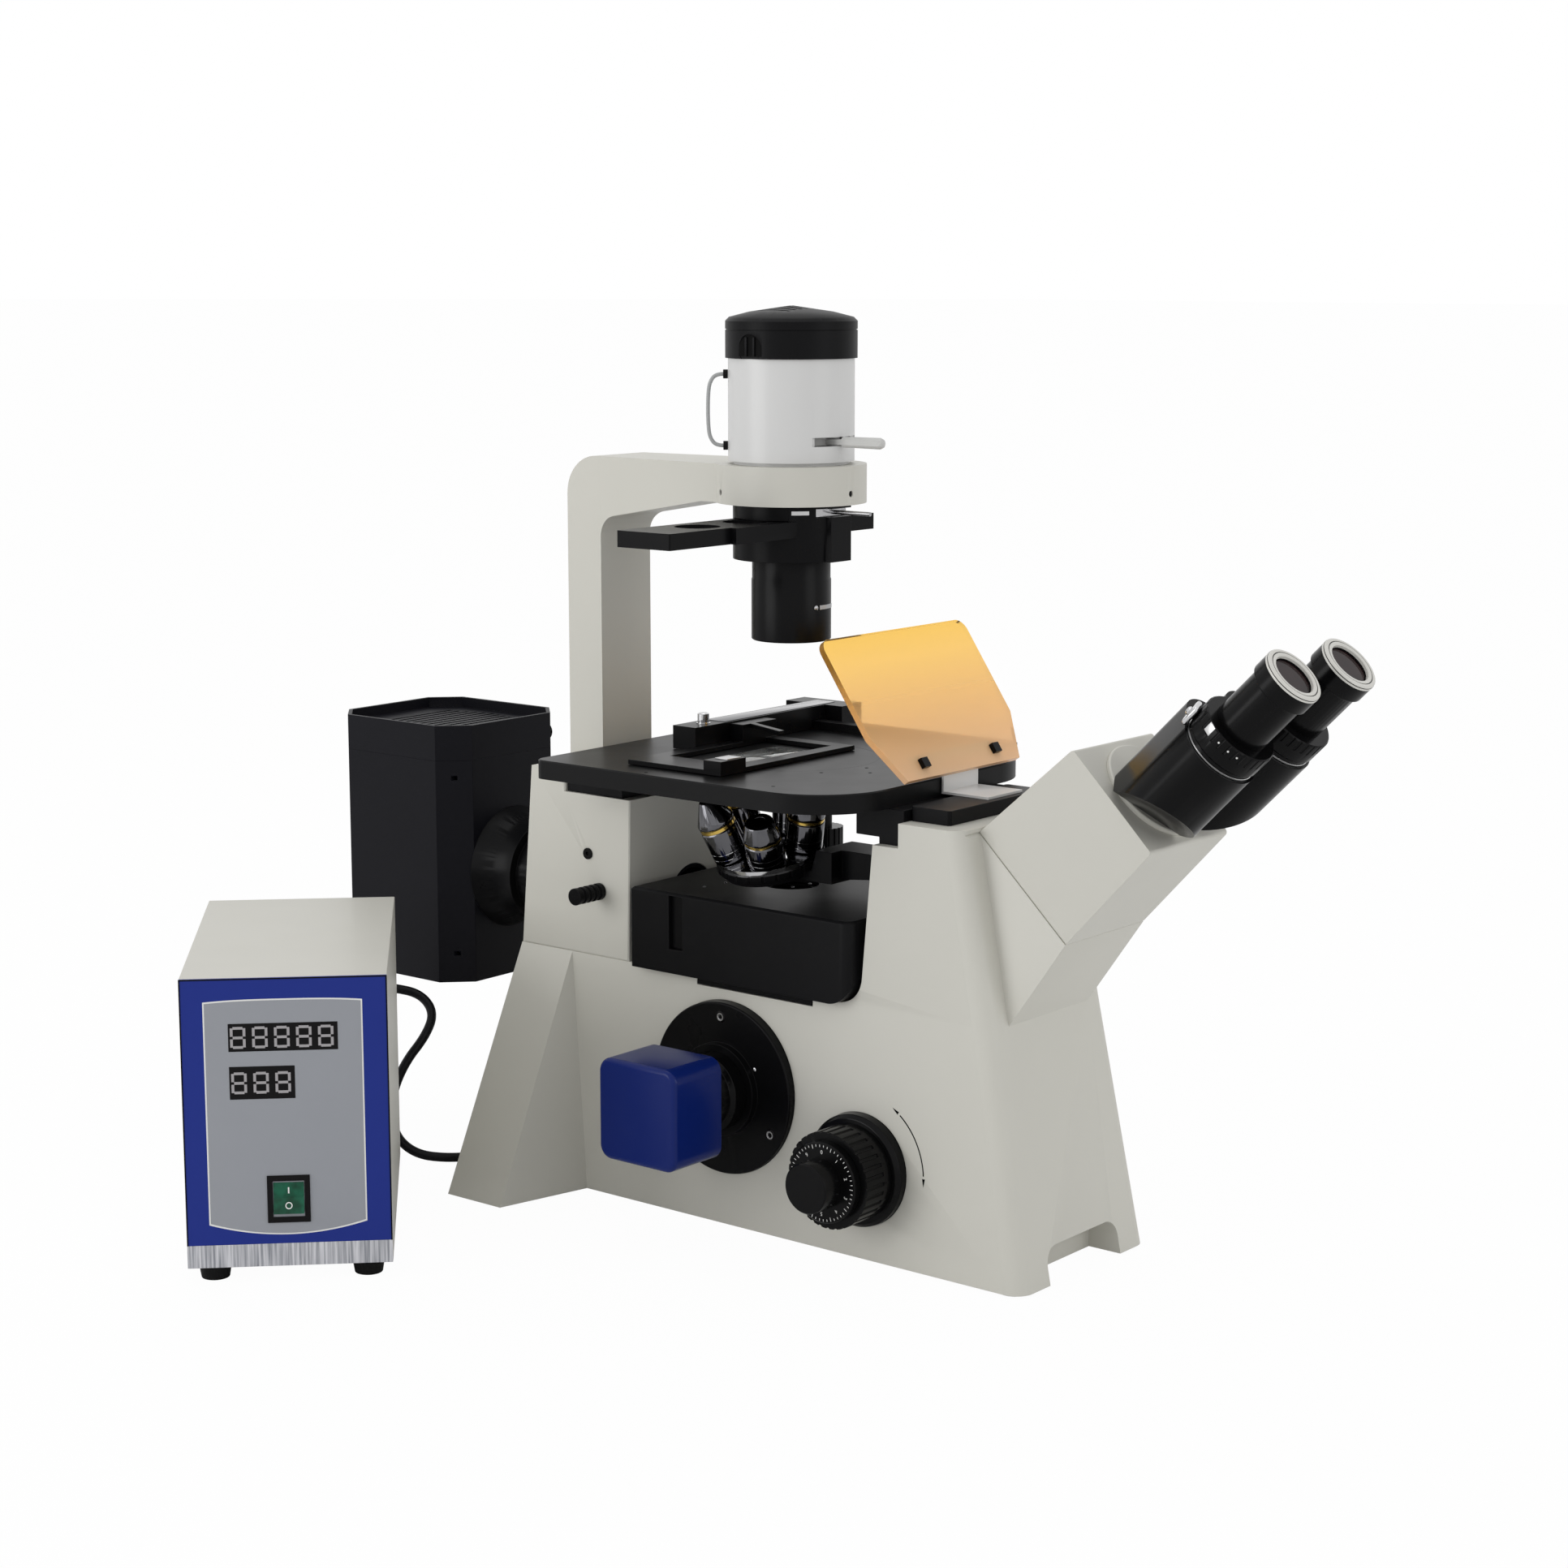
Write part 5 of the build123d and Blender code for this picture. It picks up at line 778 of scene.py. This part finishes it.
hit, facing = surface_hit("stand_casting", RAY_START, (1, 0, 0))
across = (facing.y * (FOCUS_Y - hit.y) + facing.z * (FOCUS_Z - hit.z)) / facing.x
forward = Vector((0, -1, 0))
arrow_place = place_at((hit.x - across, FOCUS_Y, FOCUS_Z), forward - facing * facing.dot(forward), facing)
arrow = [arc_band(ARROW_INNER, ARROW_OUTER, ARROW_RISE, arrow_place, ARROW_START, ARROW_END)]
for angle, turn in TIPS:
    tip = bmesh.new()
    bmesh.ops.create_circle(tip, cap_ends=True, radius=TIP_SIZE * MM, segments=3)
    bmesh.ops.scale(tip, vec=TIP_SHAPE, verts=tip.verts)
    tip_place = arrow_place @ at(0, 0, TIP_RISE, angle) @ at(TIP_RADIUS, 0, 0, turn)
    bmesh.ops.transform(tip, matrix=tip_place, verts=tip.verts)
    arrow.append(tip)
add_detail("turning_arrow", joined(arrow), ink_and_shade_black, "stand_casting")
print("arrow made")


# %% [markdown]
# ## Small screws
# Little screws are turned from a short profile: a low dome with a dimple. The flange's three cap screws
# are in the solids already, so they only get a rounded rim and a dark six-sided disc, painted shade for the
# socket.
# The holes in the stage are dark rounds of painted shade that stand a hair above its top.

# %% Screws on the flange, the filter box and the stage
SCREW_PROFILE = ((0, 0.34), (0.25, 0.34), (0.3, 0.5), (0.7, 0.4), (1, 0.1), (1, -0.2))
TO_CAMERA_SIDE = ((0, -1, 0), (-1, 0, 0))
FLANGE_SCREW, FLANGE_SCREW_RADIUS = (-70, -27.1, 106.1), 1.3
FLANGE_CIRCLE, PORT_Z, SOCKET_X, SOCKET_TURNS = 46, 89.5, -69.5, (90, 210, 330)
SOCKET_RADIUS, SOCKET_RISE, SOCKET_SIDES = 1.46, 0.2, 6
SOCKET_RIM = ((2.55, 1.32), (3.0, 1.34), (3.7, 0.7), (3.7, 0.45))
BOX_TOP, BOX_SCREW_RADIUS = 209, 1.1
BOX_SCREWS = ((-42.7, 36.3), (-24.7, 34.0), (-7.8, -7.6), (6.9, -9.7))
STAGE_TOP, HOLE_RADIUS, HOLE_RISE = 291, 1.2, 0.06
STAGE_HOLES = ((-103.0, 31.3), (-93.0, -61.0), (-36.2, -52.8), (-4.7, -63.6), (-17.8, -76.3), (60, -75),
               (90, -50))


def small_screw(place, radius):
    """A low domed screw head."""
    return lathe([(r * radius, height * radius) for r, height in SCREW_PROFILE], place, 24)


flange_screw = small_screw(place_at(FLANGE_SCREW, *TO_CAMERA_SIDE), FLANGE_SCREW_RADIUS)
add_detail("port_flange_screw", flange_screw, chrome, "port_flange")
sockets = []
for turn in SOCKET_TURNS:
    y, height = on_circle(FLANGE_CIRCLE, turn)
    socket_place = place_at((SOCKET_X, y, PORT_Z + height), *TO_CAMERA_SIDE)
    # A dark six-sided disc of painted shade stands for the shade inside the socket.
    sockets.append(disc(SOCKET_RADIUS, SOCKET_RISE, socket_place, SOCKET_SIDES))
    sockets.append(lathe(SOCKET_RIM, socket_place, 32))
add_detail("port_flange_rims_and_socket_shades", joined(sockets), window_and_shade_black, "port_flange")
box_screws = [small_screw(at(x, y, BOX_TOP), BOX_SCREW_RADIUS) for x, y in BOX_SCREWS]
add_detail("filter_box_screws", joined(box_screws), steel, "filter_box")
# Each stage hole is a dark round of painted shade, standing for the shade inside the hole.
stage_hole_shades = [disc(HOLE_RADIUS, HOLE_RISE, at(x, y, STAGE_TOP), 16) for x, y in STAGE_HOLES]
add_detail("stage_hole_shades", joined(stage_hole_shades), ink_and_shade_black, "stage_plate")
print("box screws", len(box_screws), "stage holes", len(stage_hole_shades))


# %% [markdown]
# ## On the stage
# The guide bar of the stage has a dark polished top face and a bright peg, and a clear glass slide
# lies in the specimen holder. These are plain shapes, so bevelled boxes and a turned peg are enough.

# %% Bar face, peg, slide and clip
BAR_TOP, BAR_Y = 306.3, 69.5
BAR_FACE, BAR_MIDDLE, BAR_FACE_EDGE = (116, 15, 0.3), 66, 0.1
PEG_X = -4
PEG_PROFILE = ((0, 6.9), (2.6, 6.9), (3.75, 6.2), (3.75, 0.4), (4.6, 0.4), (4.6, 0))
SLIDE, SLIDE_SPOT, SLIDE_EDGE = (76, 26, 1.0), (-20, 16, STAGE_TOP + 0.9), 0.25
CLIP_CAP, CLIP_SPOT, CLIP_EDGE = (13, 10, 0.5), (-73, -9, 300.55), 0.2

bar_face = brick(BAR_FACE, at(BAR_MIDDLE, BAR_Y, BAR_TOP + BAR_FACE[2] / 2), BAR_FACE_EDGE)
add_detail("y_carriage_bar_face", bar_face, dark_chrome, "y_carriage")
add_detail("y_carriage_peg", lathe(PEG_PROFILE, at(PEG_X, BAR_Y, BAR_TOP), 48), chrome, "y_carriage")
add_detail("glass_slide", brick(SLIDE, at(*SLIDE_SPOT), SLIDE_EDGE), slide_glass, "specimen_holder")
clip_cap = brick(CLIP_CAP, at(*CLIP_SPOT), CLIP_EDGE)
add_detail("specimen_holder_cap", clip_cap, silver_satin, "specimen_holder")
print("stage pieces made")


# %% [markdown]
# ## Condenser trim
# A bright ring shows in the gap under the arm, and part of it turns with the aperture lever. A small
# bright pin and its track sit on the barrel. The rings and the track are bands round the optical axis.

# %% Condenser ring, pin and track
BRIGHT_BAND = dict(inner=36.4, outer=36.9, height=2.4, foot=446.4, start=219, end=236, steps=12)
IRIS_BAND = dict(inner=33.9, outer=34.03, height=3.2, foot=445.7, start=238, end=284, steps=32)
TRACK_BAND = dict(inner=24.9, outer=25.5, height=2.6, foot=386.4, start=263, end=300, steps=16)
PIN_ANGLE, PIN_SIZE, BARREL_RADIUS, PIN_HEIGHT = 257, 1.6, 25, 387.5
SCREW_ANGLE, SCREW_SIZE, SCREW_RISE, HOLDER_RADIUS, SCREW_HEIGHT = 271, 1.5, 0.2, 36.4, 443.4
OPTICAL_AXIS = at(0, 0)


def axis_band(inner, outer, height, foot, start, end, steps):
    """A band round the optical axis that stands at the height of its foot."""
    return arc_band(inner, outer, height, at(0, 0, foot), start, end, steps)


add_detail("condenser_bright_ring", axis_band(**BRIGHT_BAND), silver_satin, "condenser")
add_detail("aperture_ring_band", axis_band(**IRIS_BAND), chrome, "aperture_lever")
pin = small_screw(on_side(OPTICAL_AXIS, PIN_ANGLE, BARREL_RADIUS, PIN_HEIGHT), PIN_SIZE)
add_detail("condenser_track", joined([pin, axis_band(**TRACK_BAND)]), steel, "condenser")
# A small dark disc of painted shade stands for the shade in a screw hole of the holder.
screw = disc(SCREW_SIZE, SCREW_RISE, on_side(OPTICAL_AXIS, SCREW_ANGLE, HOLDER_RADIUS, SCREW_HEIGHT), 16)
add_detail("condenser_screw_hole_shade", screw, ink_and_shade_black, "condenser")
print("condenser trim made")


# %% [markdown]
# ## The lamp supply's front
# The supply's front has a grey plate with a curved foot, a pale outline, two dark displays with
# unlit digits and a green rocker. The whole face is laid out flat, X to the right and Y up,
# in millimetres, and one matrix stands it on the turned box.

# %% Supply plate
SUPPLY_X, SUPPLY_Y, SUPPLY_TURN = -312.75, 130.8, -45
SUPPLY = at(SUPPLY_X, SUPPLY_Y, 0, SUPPLY_TURN)
FRONT = SUPPLY @ place_at((0, 0, 0), (1, 0, 0), (0, -1, 0))
PLATE_LEFT, PLATE_RIGHT, PLATE_TOP, PLATE_CORNER, PLATE_FOOT = -46.1, 44.9, 172.6, 37.4, 30.4
PLATE_STEPS, TOP_SAG = 24, 1.4
OUTLINE_GROW, OUTLINE_RISE, PLATE_RISE = 0.9, 0.2, 0.4
SEAM_THICK, SEAM_MIDDLE = 0.3, 0.1
SEAMS = ((0, 185.6, 121, 0.8), (-60.1, 105, 0.8, 162), (60.1, 105, 0.8, 162))


def curved_plate(grow, thickness):
    """A plate with a bowed lower edge: a grid whose lower row is bent, then given a thickness."""
    bm = bmesh.new()
    bmesh.ops.create_grid(bm, x_segments=PLATE_STEPS, y_segments=1, size=0.5)
    width = PLATE_RIGHT - PLATE_LEFT + 2 * grow
    for vert in bm.verts:
        along = vert.co.x * 2
        low = PLATE_FOOT - grow + (PLATE_CORNER - PLATE_FOOT) * along * along
        high = PLATE_TOP + grow - TOP_SAG * abs(along) ** 3
        across = (PLATE_LEFT + PLATE_RIGHT + along * width) / 2
        vert.co = (across * MM, (low if vert.co.y < 0 else high) * MM, 0)
    raised = bmesh.ops.extrude_face_region(bm, geom=list(bm.faces))["geom"]
    raised_verts = [item for item in raised if isinstance(item, bmesh.types.BMVert)]
    bmesh.ops.translate(bm, vec=(0, 0, thickness * MM), verts=raised_verts)
    bmesh.ops.recalc_face_normals(bm, faces=bm.faces)
    bmesh.ops.transform(bm, matrix=FRONT, verts=bm.verts)
    return bm


seam = joined([brick((width, height, SEAM_THICK), FRONT @ at(x, y, SEAM_MIDDLE))
               for x, y, width, height in SEAMS])
add_detail("supply_seam", seam, ink_and_shade_black, "supply_panel")
outline = curved_plate(OUTLINE_GROW, OUTLINE_RISE)
add_detail("supply_plate_outline", outline, ink_white, "supply_panel")
add_detail("supply_plate", curved_plate(0, PLATE_RISE), panel_grey, "supply_panel")
print("supply plate made")


# %% [markdown]
# A display digit is seven bars, drawn as little boxes. The rocker rests tilted, and its marks
# lie on the two slopes of its face, so their places are turned with it.

# %% Displays and rocker marks
DIGIT_WIDE, DIGIT_HIGH, DIGIT_PITCH, STROKE, DIGIT_FRONT, DIGIT_RISE = 9.0, 13.2, 12.8, 1.6, 0.62, 0.08
DIGIT_LEFT = -27.0
DISPLAYS = ((5, 150.5), (3, 123.0))


def unlit_digit(x, y):
    """The seven grey bars of a display digit that is switched off."""
    half = DIGIT_HIGH / 2
    flat = (DIGIT_WIDE - 2 * STROKE, STROKE)
    tall = (STROKE, half - STROKE)
    bars = [(0, half - STROKE / 2, flat), (0, 0, flat), (0, STROKE / 2 - half, flat)]
    bars += [(sx * (DIGIT_WIDE - STROKE) / 2, sy * half / 2, tall) for sx in (-1, 1) for sy in (-1, 1)]
    return [brick((*size, DIGIT_RISE), FRONT @ at(x + bx, y + by, DIGIT_FRONT)) for bx, by, size in bars]


digits = []
for count, height in DISPLAYS:
    for index in range(count):
        digits += unlit_digit(DIGIT_LEFT + index * DIGIT_PITCH, height)
add_detail("supply_digits", joined(digits), segment_grey, "supply_fittings")

ROCKER_MIDDLE, ROCKER_TILT, PIN_DEEP = 51.5, -7, 4.8
MARK_DEEP, MARK_HEIGHT, SLOPE_OUT, SLOPE_UP = -1.42, 4.6, -9.5, 1.12
BAR_MARK, BAR_MARK_RISE = (0.8, 3.8, 0.12), 0.04
RING_MARK = ((1.5, 0), (2.1, 0), (2.1, 0.12), (1.5, 0.12), (1.5, 0))
tilt = Matrix.Rotation(math.radians(ROCKER_TILT), 4, "X")
rocker_place = SUPPLY @ at(0, PIN_DEEP, ROCKER_MIDDLE) @ tilt @ at(0, -PIN_DEEP)
upper, lower = (rocker_place @ place_at((0, MARK_DEEP, way * MARK_HEIGHT), (1, 0, 0),
                                        (0, SLOPE_OUT, -way * SLOPE_UP)) for way in (1, -1))
marks = joined([brick(BAR_MARK, upper @ at(0, 0, BAR_MARK_RISE)), lathe(RING_MARK, lower, 32)])
add_detail("rocker_marks", marks, ink_white, "rocker_switch")
print("display digits", sum(count for count, height in DISPLAYS))


# %% [markdown]
# ## Floor and light
# The room is a plain pale floor that runs out into a white world. What the camera sees straight or
# through the shield is almost pure white, while the light that falls on the instrument is dimmer.

# %% Floor
FLOOR_HALF, FLOOR_SEEN, FLOOR_SCALE = 40, 0.97, 2
FLOOR_DARK, FLOOR_MEAN, FLOOR_LIGHT = (0.85, 0.85, 0.85), (0.86, 0.86, 0.86), (0.88, 0.88, 0.88)


def floor_finish():
    """White that still takes the instrument's shadow."""
    material, nodes, links, shader = start_finish("floor_white", FLOOR_MEAN, 0, 0.7)
    cloud = ramp(nodes, links, grain(nodes, links, FLOOR_SCALE, 2), 0, 1)
    links.new(tint(nodes, links, cloud, FLOOR_DARK, FLOOR_LIGHT), shader.inputs["Base Color"])
    glow = nodes.new("ShaderNodeEmission")
    glow.inputs["Color"].default_value = (1, 1, 1, 1)
    rays = nodes.new("ShaderNodeLightPath")
    seen = nodes.new("ShaderNodeMath")
    seen.operation = "MAXIMUM"
    share = nodes.new("ShaderNodeMath")
    share.operation = "MULTIPLY"
    share.inputs[1].default_value = FLOOR_SEEN
    mix = nodes.new("ShaderNodeMixShader")
    links.new(rays.outputs["Is Camera Ray"], seen.inputs[0])
    links.new(rays.outputs["Is Transmission Ray"], seen.inputs[1])
    links.new(seen.outputs[0], share.inputs[0])
    links.new(share.outputs[0], mix.inputs["Fac"])
    links.new(shader.outputs[0], mix.inputs[1])
    links.new(glow.outputs[0], mix.inputs[2])
    links.new(mix.outputs[0], nodes["Material Output"].inputs["Surface"])
    return material


floor_mesh = bmesh.new()
bmesh.ops.create_grid(floor_mesh, x_segments=1, y_segments=1, size=FLOOR_HALF)
floor_data = bpy.data.meshes.new("floor")
floor_mesh.to_mesh(floor_data)
floor_mesh.free()
floor_data.materials.append(floor_finish())
floor = bpy.data.objects.new("floor", floor_data)
bpy.context.scene.collection.objects.link(floor)
print("floor laid")


# %% [markdown]
# The world is white to the camera, to reflections and through glass, and gives its own level as light.
# Three broad lamps add a little direction: one from the camera's left, one from its right, one above.

# %% World and lamps
WORLD_LIGHT, WORLD_SEEN = 0.68, 1.0
MIDDLE = (0, 0, 0.25)
LAMPS = {
    "lamp_left": ((-2.0, 0.9, 0.8), 1.2, 13),
    "lamp_right": ((0.3, -2.4, 1.0), 1.2, 7),
    "lamp_top": ((0.2, 0.5, 2.4), 1.6, 7),
}

world = bpy.data.worlds.new("studio")
bpy.context.scene.world = world
world.use_nodes = True
sky_nodes = world.node_tree.nodes
sky_links = world.node_tree.links
sky = sky_nodes["Background"]
sky.inputs["Color"].default_value = (1, 1, 1, 1)
rays = sky_nodes.new("ShaderNodeLightPath")
seen = sky_nodes.new("ShaderNodeMath")
seen.operation = "MAXIMUM"
clear = sky_nodes.new("ShaderNodeMath")
clear.operation = "MAXIMUM"
level = sky_nodes.new("ShaderNodeMapRange")
level.inputs["To Min"].default_value = WORLD_LIGHT
level.inputs["To Max"].default_value = WORLD_SEEN
sky_links.new(rays.outputs["Is Camera Ray"], seen.inputs[0])
sky_links.new(rays.outputs["Is Transmission Ray"], seen.inputs[1])
sky_links.new(seen.outputs[0], clear.inputs[0])
sky_links.new(rays.outputs["Is Glossy Ray"], clear.inputs[1])
sky_links.new(clear.outputs[0], level.inputs["Value"])
sky_links.new(level.outputs["Result"], sky.inputs["Strength"])

for name, (place, size, power) in LAMPS.items():
    light = bpy.data.lights.new(name, "AREA")
    light.shape = "RECTANGLE"
    light.size = size
    light.size_y = size
    light.energy = power
    lamp = bpy.data.objects.new(name, light)
    lamp.location = place
    lamp.rotation_euler = (Vector(MIDDLE) - Vector(place)).to_track_quat("-Z", "Y").to_euler()
    bpy.context.scene.collection.objects.link(lamp)

bpy.context.scene.view_settings.view_transform = "Standard"
print("lamps", len(LAMPS))
